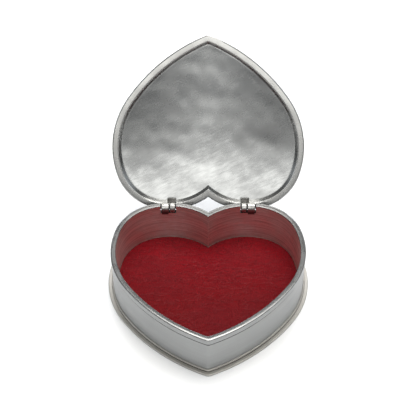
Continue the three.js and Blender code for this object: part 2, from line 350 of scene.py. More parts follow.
def mesh_object(
    name: str,
    points: np.ndarray,
    faces: list[list[int]],
    uv: Optional[np.ndarray] = None,
    wear: Optional[np.ndarray] = None,
    finish: Optional[np.ndarray] = None,
    sharp_deg: float = SHARP_DEG,
) -> bpy.types.Object:
    """A smooth-shaded object at the origin, its faces pointing out and its sharp edges marked.

    Args:
        name: the piece's name.
        points: vertex places.
        faces: vertex numbers of each face.
        uv: a place on the UV map for each face corner.
        wear: a value from 0 to 1 for each vertex.
        finish: a material number for each face.
        sharp_deg: edges that turn by more than this are sharp.

    Returns:
        The object, linked to the scene.
    """
    mesh = bpy.data.meshes.new(name)
    mesh.from_pydata(points.tolist(), [], faces)
    if uv is not None:
        layer = mesh.uv_layers.new(name=UV_NAME)
        layer.data.foreach_set("uv", uv.astype(np.float32).ravel())
    mesh.attributes.new(WEAR_AND_SHEEN_NAME, "FLOAT", "POINT")
    if wear is not None:
        mesh.attributes[WEAR_AND_SHEEN_NAME].data.foreach_set("value", wear.astype(np.float32))
    if finish is not None:
        mesh.polygons.foreach_set("material_index", finish.astype(np.int32))
    face_out(mesh)
    shade(mesh, sharp_deg)
    made = bpy.data.objects.new(name, mesh)
    bpy.context.scene.collection.objects.link(made)
    return made


def face_out(mesh: bpy.types.Mesh) -> None:
    """Turns the faces of a closed mesh to point out.

    Args:
        mesh: the closed mesh.
    """
    work = bmesh.new()
    work.from_mesh(mesh)
    bmesh.ops.recalc_face_normals(work, faces=work.faces)
    work.to_mesh(mesh)
    work.free()


def shade(mesh: bpy.types.Mesh, sharp_deg: float) -> None:
    """Shades a mesh smooth, with its edges of more than sharp_deg sharp.

    Args:
        mesh: the mesh.
        sharp_deg: edges that turn by more than this are sharp.
    """
    mesh.polygons.foreach_set("use_smooth", np.ones(len(mesh.polygons), bool))
    mesh.set_sharp_from_angle(angle=math.radians(sharp_deg))
    mesh.update()


def block(low: Sequence[float], high: Sequence[float]) -> Shell:
    """The points and faces of a box between two corners.

    Args:
        low: the lowest corner.
        high: the highest corner.

    Returns:
        Its points and faces.
    """
    steps = np.array([[x, y, z] for x in (0, 1) for y in (0, 1) for z in (0, 1)])
    points = np.asarray(low) + steps * (np.asarray(high) - np.asarray(low))
    faces = [[0, 1, 3, 2], [4, 6, 7, 5], [0, 4, 5, 1], [2, 3, 7, 6], [0, 2, 6, 4], [1, 5, 7, 3]]
    return points, faces


def turned_bar(stations: np.ndarray, centre: Sequence[float], steps: int = 56) -> Shell:
    """A bar turned about a line along X: p(x, a) = (x, y0 + r(x) cos a, z0 + r(x) sin a).

    Args:
        stations: rows of x and radius. The first and last rows close the bar with flat ends.
        centre: the line's y and z.
        steps: facets round the bar.

    Returns:
        Its points and faces.
    """
    angle = np.linspace(0, 2 * np.pi, steps, endpoint=False)
    x = np.repeat(stations[:, :1], steps, 1)
    y = centre[0] + stations[:, 1:] * np.cos(angle)
    z = centre[1] + stations[:, 1:] * np.sin(angle)
    i, j = np.arange(len(stations) - 1)[:, None], np.arange(steps)[None, :]
    here, there = i * steps + j, i * steps + (j + 1) % steps
    quads = np.stack([here, here + steps, there + steps, there], -1).reshape(-1, 4).tolist()
    ring = np.arange(steps)
    caps = [ring.tolist(), (ring[::-1] + (len(stations) - 1) * steps).tolist()]
    return np.stack([x, y, z], -1).reshape(-1, 3), quads + caps


def joined(
    name: str, parts: Sequence[Shell], finishes: Optional[Sequence[int]] = None
) -> bpy.types.Object:
    """Several closed shells as one object.

    Args:
        name: the object's name.
        parts: each shell's points and faces.
        finishes: a material number for each shell.

    Returns:
        The object.
    """
    points, faces, numbers, start = [], [], [], 0
    for (part_points, part_faces), number in zip(parts, finishes or [0] * len(parts)):
        points.append(part_points)
        faces += [[k + start for k in face] for face in part_faces]
        numbers += [number] * len(part_faces)
        start += len(part_points)
    return mesh_object(name, np.vstack(points), faces, finish=np.array(numbers))


def cut_away(piece: bpy.types.Object, cutters: Sequence[bpy.types.Object]) -> None:
    """Cuts the cutters' shapes out of a piece and removes the cutters.

    Args:
        piece: the piece.
        cutters: closed shapes, which are used up.
    """
    for cutter in cutters:
        cut = piece.modifiers.new("notch", "BOOLEAN")
        cut.operation = "DIFFERENCE"
        cut.solver = "EXACT"
        cut.object = cutter
    view = bpy.context.evaluated_depsgraph_get()
    view.update()
    mesh = bpy.data.meshes.new_from_object(piece.evaluated_get(view))
    piece.modifiers.clear()
    old, piece.data = piece.data, mesh
    mesh.name = piece.name
    bpy.data.meshes.remove(old)
    for cutter in cutters:
        bpy.data.objects.remove(cutter)
    shade(mesh, SHARP_DEG)


def rounded_edges(piece: bpy.types.Object, width: float, segments: int = 3) -> None:
    """Rounds a piece's sharp edges with a bevel.

    Args:
        piece: the piece.
        width: the bevel's width.
        segments: its number of steps.
    """
    bevel = piece.modifiers.new("rounded_edges", "BEVEL")
    bevel.width = width
    bevel.segments = segments
    bevel.limit_method = "ANGLE"
    bevel.angle_limit = math.radians(BEVEL_FROM_DEG)
    bevel.harden_normals = False


# ---- Shader effects ---------------------------------------------------------------------------


class Canvas:
    """A node tree with short calls for adding nodes and links."""

    def __init__(self, tree: bpy.types.NodeTree) -> None:
        """Starts on a tree.

        Args:
            tree: the material's or group's node tree.
        """
        self.tree = tree

    def add(self, kind: str, **values: object) -> bpy.types.Node:
        """A node of a kind, with properties set by name and inputs by in_NAME or in_0, in_1.

        Args:
            kind: the node's type.
            **values: its properties and inputs, with _ for a space.

        Returns:
            The node.
        """
        node = self.tree.nodes.new(kind)
        for key, value in values.items():
            if key.startswith("in_"):
                name = key.removeprefix("in_")
                self.feed(value, node.inputs[int(name) if name.isdigit() else name.replace("_", " ")])
            else:
                setattr(node, key, value)
        return node

    def feed(self, value: object, socket: bpy.types.NodeSocket) -> None:
        """Links a socket to an input, or sets the input to a plain value.

        Args:
            value: a socket or a plain value.
            socket: the input.
        """
        if isinstance(value, bpy.types.NodeSocket):
            self.tree.links.new(value, socket)
        else:
            socket.default_value = value

    def maths(
        self, operation: str, a: object, b: object = 0.0, clamp: bool = False
    ) -> bpy.types.NodeSocket:
        """The result of one arithmetic step."""
        return self.add("ShaderNodeMath", operation=operation, use_clamp=clamp, in_0=a, in_1=b).outputs[0]

    def scaled(self, vector: object, by: object) -> bpy.types.NodeSocket:
        """A vector times another, axis by axis."""
        return self.add("ShaderNodeVectorMath", operation="MULTIPLY", in_0=vector, in_1=by).outputs[0]

    def noise(
        self, vector: object, scale: float, detail: float = 2.0, rough: float = 0.5
    ) -> bpy.types.NodeSocket:
        """Noise from 0 to 1."""
        settings = {"in_Scale": scale, "in_Detail": detail, "in_Roughness": rough}
        return self.add("ShaderNodeTexNoise", in_Vector=vector, **settings).outputs["Fac"]

    def between(
        self, value: object, low: float, high: float, out_low: float, out_high: float
    ) -> bpy.types.NodeSocket:
        """A value carried from one range to another, and kept inside it.

        Args:
            value: the value.
            low: where its range starts.
            high: where it ends.
            out_low: what low becomes.
            out_high: what high becomes.

        Returns:
            The new value, which eases in and out.
        """
        node = self.add("ShaderNodeMapRange", in_0=value, in_1=low, in_2=high, in_3=out_low, in_4=out_high)
        node.interpolation_type = "SMOOTHSTEP"
        return node.outputs[0]

    def turned_aslant(self, vector: object) -> bpy.types.NodeSocket:
        """A place turned so that its first axis runs aslant over the open lid's inside."""
        turn = {"in_Axis": ASLANT_AXIS, "in_Angle": ASLANT_ANGLE}
        return self.add("ShaderNodeVectorRotate", in_Vector=vector, **turn).outputs[0]

    def raised(self, height: object, shader: bpy.types.Node) -> None:
        """Gives a shader a surface raised by a height in metres."""
        bump = self.add("ShaderNodeBump", in_Strength=1.0, in_Distance=1.0, in_Height=height)
        self.feed(bump.outputs["Normal"], shader.inputs["Normal"])

    def mixed(self, share: object, a: object, b: object) -> bpy.types.NodeSocket:
        """A colour between two colours.

        Args:
            share: how much of the second colour there is, from 0 to 1.
            a: the first colour.
            b: the second colour.

        Returns:
            The mixed colour.
        """
        node = self.add("ShaderNodeMix", data_type="RGBA")
        self.feed(share, node.inputs[0])
        self.feed(a, node.inputs[6])
        self.feed(b, node.inputs[7])
        return node.outputs[2]


def shader_group(name: str, takes: dict[str, float], gives: Sequence[str]) -> tuple[Canvas, dict, dict]:
    """A new group of shader nodes.

    Args:
        name: the group's name.
        takes: its number inputs and their defaults. It always takes a Vector too.
        gives: its number outputs.

    Returns:
        Its canvas, its inputs' sockets inside the group by name, and its outputs' likewise.
    """
    tree = bpy.data.node_groups.new(name, "ShaderNodeTree")
    tree.interface.new_socket("Vector", in_out="INPUT", socket_type="NodeSocketVector")
    for key, value in takes.items():
        tree.interface.new_socket(key, in_out="INPUT", socket_type="NodeSocketFloat").default_value = value
    for key in gives:
        tree.interface.new_socket(key, in_out="OUTPUT", socket_type="NodeSocketFloat")
    canvas = Canvas(tree)
    inputs = canvas.add("NodeGroupInput").outputs
    outputs = canvas.add("NodeGroupOutput").inputs
    return canvas, {s.name: s for s in inputs if s.name}, {s.name: s for s in outputs if s.name}


def brush_marks_group() -> bpy.types.NodeTree:
    """Fine parallel marks: noise that is stretched a long way along the first axis.

    Returns:
        The group's tree.
    """
    coarser, coarse_share = (0.35, 0.22, 0.22), 0.8
    canvas, takes, gives = shader_group(
        "Brush marks", {"Per metre": 2500.0, "Length": 0.02}, ["Height", "Tone"]
    )
    along = canvas.maths("MULTIPLY", takes["Per metre"], takes["Length"])
    across = takes["Per metre"]
    stretch = canvas.add("ShaderNodeCombineXYZ", in_X=along, in_Y=across, in_Z=across)
    place = canvas.scaled(takes["Vector"], stretch.outputs[0])
    fine = canvas.noise(place, 1.0, 3.0, 0.6)
    coarse = canvas.noise(canvas.scaled(place, coarser), 1.0, 2.0, 0.5)
    canvas.feed(canvas.maths("ADD", fine, canvas.maths("MULTIPLY", coarse, coarse_share)), gives["Height"])
    canvas.feed(canvas.maths("MULTIPLY", canvas.maths("ADD", fine, coarse), 0.5), gives["Tone"])
    return canvas.tree


def cast_cloud_group() -> bpy.types.NodeTree:
    """Soft blotches, patches of fine crinkles, and a few specks, as on rubbed cast metal.

    Returns:
        The group's tree.
    """
    canvas, takes, gives = shader_group(
        "Cast cloud", {"Blotches": 90.0, "Crinkles": 800.0, "Specks": 240.0}, ["Cloud", "Crinkle", "Speck"]
    )
    bend, patches, patch_edge = (0.0018, 0.0018, 0.0018), 34.0, (0.54, 0.66)
    chosen_share, speck_radius = (0.80, 0.85), (0.03, 0.10)
    vector = takes["Vector"]
    warp = canvas.add("ShaderNodeTexNoise", in_Vector=vector, in_Scale=takes["Blotches"], in_Detail=2.0)
    push = canvas.scaled(warp.outputs["Color"], bend)
    place = canvas.add("ShaderNodeVectorMath", operation="ADD", in_0=vector, in_1=push).outputs[0]
    cloud = canvas.add("ShaderNodeTexNoise", in_Vector=place, in_Scale=takes["Blotches"], in_Detail=3.0)
    patch = canvas.between(canvas.noise(vector, patches, 1.0), *patch_edge, 0.0, 1.0)
    turned = canvas.turned_aslant(place)
    wide = canvas.scaled(turned, DRAWN_OUT)
    crinkle = canvas.add("ShaderNodeTexNoise", in_Vector=wide, in_Scale=takes["Crinkles"], in_Detail=2.0)
    cells = canvas.add("ShaderNodeTexVoronoi", in_Vector=vector, in_Scale=takes["Specks"])
    chosen = canvas.add("ShaderNodeSeparateColor", in_Color=cells.outputs["Color"]).outputs[0]
    chosen = canvas.between(chosen, *chosen_share, 0.0, 1.0)
    speck = canvas.between(cells.outputs["Distance"], *speck_radius, 1.0, 0.0)
    canvas.feed(cloud.outputs["Fac"], gives["Cloud"])
    level = canvas.maths("SUBTRACT", crinkle.outputs["Fac"], 0.5)
    canvas.feed(canvas.maths("MULTIPLY", level, patch), gives["Crinkle"])
    canvas.feed(canvas.maths("MULTIPLY", speck, chosen), gives["Speck"])
    return canvas.tree


def edge_wear_group() -> bpy.types.NodeTree:
    """Where the metal is rubbed bright, or has a painted sheen: the piece's wear value, broken up by noise.

    Returns:
        The group's tree.
    """
    canvas, takes, gives = shader_group("Edge wear", {"Break up": 400.0, "Least": 0.35}, ["Mask"])
    worn = canvas.add("ShaderNodeAttribute", attribute_name=WEAR_AND_SHEEN_NAME).outputs["Fac"]
    noise = canvas.add(
        "ShaderNodeTexNoise", in_Vector=takes["Vector"], in_Scale=takes["Break up"], in_Detail=3.0
    )
    broken = canvas.between(noise.outputs["Fac"], 0.3, 0.7, takes["Least"], 1.0)
    canvas.feed(canvas.maths("MULTIPLY", worn, broken, clamp=True), gives["Mask"])
    return canvas.tree


def hide_grain_group() -> bpy.types.NodeTree:
    """Leather's pebbles, the creases between them, and long shallow wrinkles across the hide.

    Returns:
        The group's tree.
    """
    canvas, takes, gives = shader_group(
        "Hide grain", {"Pebbles": 1150.0, "Wrinkles": 260.0}, ["Height", "Creases", "Wrinkle"]
    )
    bends, bend_reach, crease_width, fold_width = 220.0, (0.0022, 0.0022, 0.0022), 0.16, 0.06
    crease_share, fold_share = 0.55, 0.45
    vector = takes["Vector"]
    bend = canvas.add("ShaderNodeTexNoise", in_Vector=vector, in_Scale=bends, in_Detail=3.0).outputs["Color"]
    push = canvas.scaled(bend, bend_reach)
    place = canvas.add("ShaderNodeVectorMath", operation="ADD", in_0=vector, in_1=push).outputs[0]
    cells = canvas.add(
        "ShaderNodeTexVoronoi", feature="DISTANCE_TO_EDGE", in_Vector=place, in_Scale=takes["Pebbles"]
    )
    crease = canvas.between(cells.outputs["Distance"], 0.0, crease_width, 0.0, 1.0)
    long_way = canvas.scaled(place, DRAWN_OUT)
    wrinkle = canvas.add("ShaderNodeTexNoise", in_Vector=long_way, in_Scale=takes["Wrinkles"], in_Detail=4.0)
    folded = canvas.maths("ABSOLUTE", canvas.maths("SUBTRACT", wrinkle.outputs["Fac"], 0.5))
    fold = canvas.between(folded, 0.0, fold_width, 0.0, 1.0)
    pebbled = canvas.maths("MULTIPLY", crease, crease_share)
    total = canvas.maths("ADD", pebbled, canvas.maths("MULTIPLY", fold, fold_share))
    canvas.feed(total, gives["Height"])
    canvas.feed(crease, gives["Creases"])
    canvas.feed(fold, gives["Wrinkle"])
    return canvas.tree


class Effects:
    """The shader groups that the finishes share, each built once."""

    def __init__(self) -> None:
        """Builds the groups."""
        self.brush = brush_marks_group()
        self.cloud = cast_cloud_group()
        self.wear = edge_wear_group()
        self.hide = hide_grain_group()

    @staticmethod
    def place(
        canvas: Canvas, tree: bpy.types.NodeTree, **inputs: object
    ) -> dict[str, bpy.types.NodeSocket]:
        """Puts a group into a material.

        Args:
            canvas: the material's canvas.
            tree: the group.
            **inputs: its inputs by name, with _ for a space.

        Returns:
            Its outputs by name.
        """
        node = canvas.add("ShaderNodeGroup", node_tree=tree)
        for key, value in inputs.items():
            canvas.feed(value, node.inputs[key.replace("_", " ")])
        return {s.name: s for s in node.outputs}


# ---- Finishes ---------------------------------------------------------------------------------


class Lay(Enum):
    """Which way a metal's brush marks run."""

    ALONG_PATH = "along the piece's outline"
    ASLANT = "aslant over the open lid's inside"
    NONE = "no direction"


def new_material(name: str) -> tuple[bpy.types.Material, Canvas, bpy.types.Node]:
    """A material with a Principled shader, its canvas, and the shader's node.

    Args:
        name: the material's name.

    Returns:
        The material, its canvas, and the shader's node.
    """
    material = bpy.data.materials.new(name)
    material.use_nodes = True
    canvas = Canvas(material.node_tree)
    return material, canvas, material.node_tree.nodes["Principled BSDF"]


@dataclass(frozen=True)
class PewterFinish:
    """Pewter, from bright to satin.

    Attributes:
        name: the material's name.
        colour: the metal's reflection colour.
        tarnish: its colour in the dull patches.
        roughness: in the clear patches.
        dulling: how much rougher the dull patches are.
        lay: the way its brush marks run.
        marks: brush marks per metre.
        mark_depth: their height in metres.
        mark_length: how wide a mark is, as a share of its length.
        cloud: how strongly the cast surface shows in its colour, from 0 to 1.
        blotches: blotches per metre.
        streak: how strongly the brush marks show in its colour, from 0 to 1.
        cloud_depth: the height of its blotches in metres.
        crinkle_depth: the height of its crinkles in metres.
        speck_depth: the depth of its specks in metres.
        anisotropy: how far the brush marks stretch highlights.
        metallic: how much of the surface is bare metal, and not a matte film.
        rub: how many times brighter than its colour the metal is where rubbed, or under a painted sheen.
        rub_break: patches of rubbing and painted sheen per metre.
        rub_least: how much of the rubbing and sheen is left between those patches.
        DULL_FROM_TO: the cloud values between which the clear patches turn dull.
        RUB_SHARE: how much of the brighter colour a fully rubbed place, or one under full sheen, takes on.
        RUB_SMOOTHING: how much smoother such a place is.
        MARK_ROUGHNESS: what the brush marks take off and add to the roughness.
    """

    DULL_FROM_TO: ClassVar[tuple[float, float]] = (0.36, 0.66)
    RUB_SHARE: ClassVar[float] = 0.6
    RUB_SMOOTHING: ClassVar[float] = 0.06
    MARK_ROUGHNESS: ClassVar[tuple[float, float]] = (-0.04, 0.06)

    name: str
    colour: tuple[float, float, float]
    tarnish: tuple[float, float, float]
    roughness: float = 0.25
    dulling: float = 0.1
    lay: Lay = Lay.NONE
    marks: float = 2200.0
    mark_depth: float = 4e-6
    mark_length: float = 0.02
    cloud: float = 0.3
    blotches: float = 90.0
    streak: float = 0.3
    cloud_depth: float = 3e-5
    crinkle_depth: float = 0.0
    speck_depth: float = 0.0
    anisotropy: float = 0.0
    metallic: float = 1.0
    rub: float = 1.18
    rub_break: float = 400.0
    rub_least: float = 0.35

    def build(self, effects: Effects) -> bpy.types.Material:
        """The material.

        Args:
            effects: the shared shader groups.

        Returns:
            The material.
        """
        material, canvas, shader = new_material(self.name)
        place = canvas.add("ShaderNodeTexCoord").outputs["Object"]
        cloud = effects.place(canvas, effects.cloud, Vector=place, Blotches=self.blotches)
        wear = effects.place(
            canvas, effects.wear, Vector=place, Break_up=self.rub_break, Least=self.rub_least
        )
        dull = canvas.between(cloud["Cloud"], *self.DULL_FROM_TO, 0.0, self.cloud)
        colour = canvas.mixed(dull, (*self.colour, 1), (*self.tarnish, 1))
        # The wear mask brightens rubbed edges, and lays a painted sheen on the lid's hollow and inside the
        # lobes.
        bright = tuple(min(1.0, c * self.rub) for c in self.colour)
        rubbed = canvas.maths("MULTIPLY", wear["Mask"], self.RUB_SHARE)
        colour = canvas.mixed(rubbed, colour, (*bright, 1))
        roughest = self.roughness + self.dulling
        rough = canvas.between(cloud["Cloud"], *self.DULL_FROM_TO, self.roughness, roughest)
        height = canvas.maths("MULTIPLY", cloud["Cloud"], self.cloud_depth)
        crinkle = canvas.maths("MULTIPLY", cloud["Crinkle"], self.crinkle_depth)
        speck = canvas.maths("MULTIPLY", cloud["Speck"], self.speck_depth)
        height = canvas.maths("ADD", height, canvas.maths("SUBTRACT", crinkle, speck))
        if self.lay is not Lay.NONE:
            route = self._route(canvas, place)
            brush = effects.place(
                canvas, effects.brush, Vector=route, Per_metre=self.marks, Length=self.mark_length
            )
            height = canvas.maths("ADD", height, canvas.maths("MULTIPLY", brush["Height"], self.mark_depth))
            rougher = canvas.between(brush["Tone"], 0.3, 0.7, *self.MARK_ROUGHNESS)
            rough = canvas.maths("ADD", rough, rougher)
            shade_of_mark = canvas.between(brush["Tone"], 0.38, 0.62, 0.0, self.streak)
            colour = canvas.mixed(shade_of_mark, colour, (*self.tarnish, 1))
        smoother = canvas.maths("MULTIPLY", wear["Mask"], self.RUB_SMOOTHING)
        rough = canvas.maths("SUBTRACT", rough, smoother, clamp=True)
        canvas.feed(colour, shader.inputs["Base Color"])
        canvas.feed(rough, shader.inputs["Roughness"])
        shader.inputs["Metallic"].default_value = self.metallic
        if self.anisotropy > 0:
            shader.inputs["Anisotropic"].default_value = self.anisotropy
            shader.inputs["Anisotropic Rotation"].default_value = 0.25
            tangent = canvas.add("ShaderNodeTangent", direction_type="UV_MAP", uv_map=UV_NAME)
            canvas.feed(tangent.outputs[0], shader.inputs["Tangent"])
        canvas.raised(height, shader)
        return material

    def _route(self, canvas: Canvas, place: bpy.types.NodeSocket) -> bpy.types.NodeSocket:
        """The place whose first axis the brush marks follow.

        Args:
            canvas: the material's canvas.
            place: the place on the object.

        Returns:
            The place on the UV map, or the place turned aslant.
        """
        if self.lay is Lay.ALONG_PATH:
            return canvas.add("ShaderNodeUVMap", uv_map=UV_NAME).outputs["UV"]
        return canvas.turned_aslant(place)


@dataclass(frozen=True)
class LeatherFinish:
    """Red leather with a fine pebble grain and shallow wrinkles.

    Attributes:
        name: the material's name.
        colour: the leather's colour.
        fresh: its colour towards the back, lighter there as painted light.
        worn: its colour in the rubbed patches.
        deep: its colour in creases and wrinkles, darker there as painted shade.
        roughness: on the pebbles.
        crease_roughness: how much rougher the creases are.
        grain_depth: the height of its grain in metres.
        specular: how strongly it shines.
        patches: rubbed patches per metre.
        fresh_until: how far back, in metres, the lighter painted colour is reached.
    """

    name: str = "red_leather"
    colour: tuple[float, float, float] = (0.192, 0.001, 0.004)
    fresh: tuple[float, float, float] = (0.255, 0.003, 0.009)
    worn: tuple[float, float, float] = (0.165, 0.003, 0.0075)
    deep: tuple[float, float, float] = (0.07, 0.001, 0.003)
    roughness: float = 0.36
    crease_roughness: float = 0.2
    grain_depth: float = 2.4e-4
    specular: float = 0.14
    patches: float = 34.0
    fresh_until: float = 0.045

    def build(self, effects: Effects) -> bpy.types.Material:
        """The material.

        Args:
            effects: the shared shader groups.

        Returns:
            The material.
        """
        material, canvas, shader = new_material(self.name)
        place = canvas.add("ShaderNodeTexCoord").outputs["Object"]
        grain = effects.place(canvas, effects.hide, Vector=place)
        patch = canvas.noise(place, self.patches, 4.0, 0.6)
        # Lighter towards the back, broken up by the patches: painted light.
        back = canvas.add("ShaderNodeSeparateXYZ", in_Vector=place).outputs[1]
        back = canvas.maths("ADD", back, canvas.maths("MULTIPLY", patch, 0.02))
        painted_lit_share = canvas.between(back, 0.0, self.fresh_until, 0.0, 1.0)
        colour = canvas.mixed(painted_lit_share, (*self.colour, 1), (*self.fresh, 1))
        colour = canvas.mixed(canvas.between(patch, 0.4, 0.68, 0.0, 0.55), colour, (*self.worn, 1))
        # Creases and wrinkles are darkened: painted shade.
        colour = canvas.mixed(canvas.between(grain["Creases"], 0.0, 1.0, 0.65, 0.0), colour, (*self.deep, 1))
        colour = canvas.mixed(canvas.between(grain["Wrinkle"], 0.0, 1.0, 0.15, 0.0), colour, (*self.deep, 1))
        roughest = self.roughness + self.crease_roughness
        rough = canvas.between(grain["Creases"], 0.0, 1.0, roughest, self.roughness)
        rough = canvas.maths("ADD", rough, canvas.between(patch, 0.3, 0.7, -0.04, 0.06))
        canvas.feed(colour, shader.inputs["Base Color"])
        canvas.feed(rough, shader.inputs["Roughness"])
        shader.inputs["Specular IOR Level"].default_value = self.specular
        shader.inputs["Sheen Weight"].default_value = 0.01
        shader.inputs["Sheen Roughness"].default_value = 0.4
        canvas.raised(canvas.maths("MULTIPLY", grain["Height"], self.grain_depth), shader)
        return material


@dataclass(frozen=True)
class CardFinish:
    """Grey board with flecks and a fibrous surface.

    Attributes:
        name: the material's name.
        colour: the board's colour.
        fleck: the colour of its flecks.
        roughness: all over.
        fibres: fibres per metre.
        fibre_depth: their height in metres.
    """

    name: str = "grey_card"
    colour: tuple[float, float, float] = (0.42, 0.40, 0.36)
    fleck: tuple[float, float, float] = (0.24, 0.22, 0.19)
    roughness: float = 0.9
    fibres: float = 1400.0
    fibre_depth: float = 2e-5

    def build(self, effects: Effects) -> bpy.types.Material:
        """The material.

        Args:
            effects: the shared shader groups.

        Returns:
            The material.
        """
        material, canvas, shader = new_material(self.name)
        place = canvas.add("ShaderNodeTexCoord").outputs["Object"]
        marks = effects.place(canvas, effects.brush, Vector=place, Per_metre=self.fibres, Length=0.15)
        flecks = canvas.between(canvas.noise(place, 900.0, 3.0, 0.7), 0.52, 0.7, 0.0, 1.0)
        canvas.feed(canvas.mixed(flecks, (*self.colour, 1), (*self.fleck, 1)), shader.inputs["Base Color"])
        shader.inputs["Roughness"].default_value = self.roughness
        canvas.raised(canvas.maths("MULTIPLY", marks["Height"], self.fibre_depth), shader)
        return material


class Finishes:
    """Every material of the box."""

    def __init__(self) -> None:
        """Builds the materials."""
        effects = Effects()
        self.bright = PewterFinish(
            "bright_pewter", colour=(0.39, 0.39, 0.38), tarnish=(0.29, 0.285, 0.275),
            roughness=0.22, dulling=0.08, cloud=0.3, cloud_depth=3e-6, speck_depth=1.5e-6,
        ).build(effects)
        # The rim's pewter is a darker copy of the bright pewter: painted shade, so that the rim's top reads
        # dark grey.
        self.rim = PewterFinish(
            "rim_pewter", colour=(0.21, 0.21, 0.208), tarnish=(0.15, 0.15, 0.148),
            roughness=0.25, dulling=0.08, cloud=0.4, cloud_depth=2e-6, speck_depth=1e-6,
        ).build(effects)
        self.satin = PewterFinish(
            "satin_pewter", colour=(0.352, 0.358, 0.358), tarnish=(0.312, 0.316, 0.314),
            roughness=0.46, dulling=0.06, lay=Lay.ALONG_PATH, marks=1700.0, mark_depth=1.0e-6,
            cloud=0.25, blotches=45.0, cloud_depth=1e-5, speck_depth=4e-6, metallic=0.55,
        ).build(effects)
        # The foot's warm brown-grey satin is pewter with a painted contact shadow laid into its colour.
        self.foot = PewterFinish(
            "foot_satin", colour=(0.40, 0.385, 0.355), tarnish=(0.31, 0.295, 0.27),
            roughness=0.42, dulling=0.08, cloud=0.4, blotches=120.0, cloud_depth=6e-6, metallic=0.85,
        ).build(effects)
        # The inside's pink-red colour and tarnish are a painted reflection of the red leather on bare
        # pewter.
        self.inside = PewterFinish(
            "brushed_inside", colour=(0.86, 0.59, 0.55), tarnish=(0.46, 0.30, 0.275),
            roughness=0.38, dulling=0.10, lay=Lay.ALONG_PATH, marks=3600.0, mark_depth=4e-6,
            cloud=0.35, blotches=60.0, cloud_depth=1e-5, streak=0.75, anisotropy=0.5, metallic=0.93,
            rub=2.0, rub_break=300.0, rub_least=0.5,
        ).build(effects)
        # The lid's hollow is a darker pewter, made brighter down its middle and over its lobes by a painted
        # sheen.
        self.dish = PewterFinish(
            "clouded_lid", colour=(0.222, 0.226, 0.224), tarnish=(0.162, 0.163, 0.163),
            roughness=0.24, dulling=0.08, lay=Lay.ASLANT, marks=1300.0, mark_depth=1.1e-6,
            mark_length=0.2, streak=0.22, cloud=0.8, blotches=60.0, cloud_depth=8e-5,
            crinkle_depth=2.0e-5, speck_depth=1e-5, rub=2.6, rub_break=110.0, rub_least=0.66,
        ).build(effects)
        self.hinge = PewterFinish(
            "hinge_pewter", colour=(0.44, 0.435, 0.42), tarnish=(0.20, 0.195, 0.185),
            roughness=0.32, dulling=0.12, cloud=0.6, blotches=330.0, cloud_depth=1e-5,
        ).build(effects)
        # A near-black pewter for grooves, crevices, notches and the pin: part patina, part painted shade.
        self.recess = PewterFinish(
            "dark_recess", colour=(0.045, 0.043, 0.042), tarnish=(0.02, 0.019, 0.018),
            roughness=0.42, dulling=0.2, cloud=0.7, blotches=300.0,
        ).build(effects)
        # A darker pewter for the lid leaf's tab and the seat block; on the seat in the notch it is painted
        # shade.
        self.tab = PewterFinish(
            "heat_darkened", colour=(0.17, 0.165, 0.155), tarnish=(0.08, 0.077, 0.072),
            roughness=0.36, dulling=0.14, cloud=0.8, blotches=400.0,
        ).build(effects)
        self.leather = LeatherFinish().build(effects)
        self.card = CardFinish().build(effects)


def dress(piece: bpy.types.Object, slot: str, *materials: bpy.types.Material) -> None:
    """Gives a piece its materials in order.

    Args:
        piece: the piece.
        slot: not used.
        *materials: its materials, by material number.
    """
    own = piece.data.materials
    for number, material in enumerate(materials):
        if number < len(own):
            own[number] = material
        else:
            own.append(material)


def report(piece: bpy.types.Object) -> None:
    """Logs a finished piece."""
    LOG.info("%s: %d faces", piece.name, len(piece.data.polygons))


# ---- The box ----------------------------------------------------------------------------------


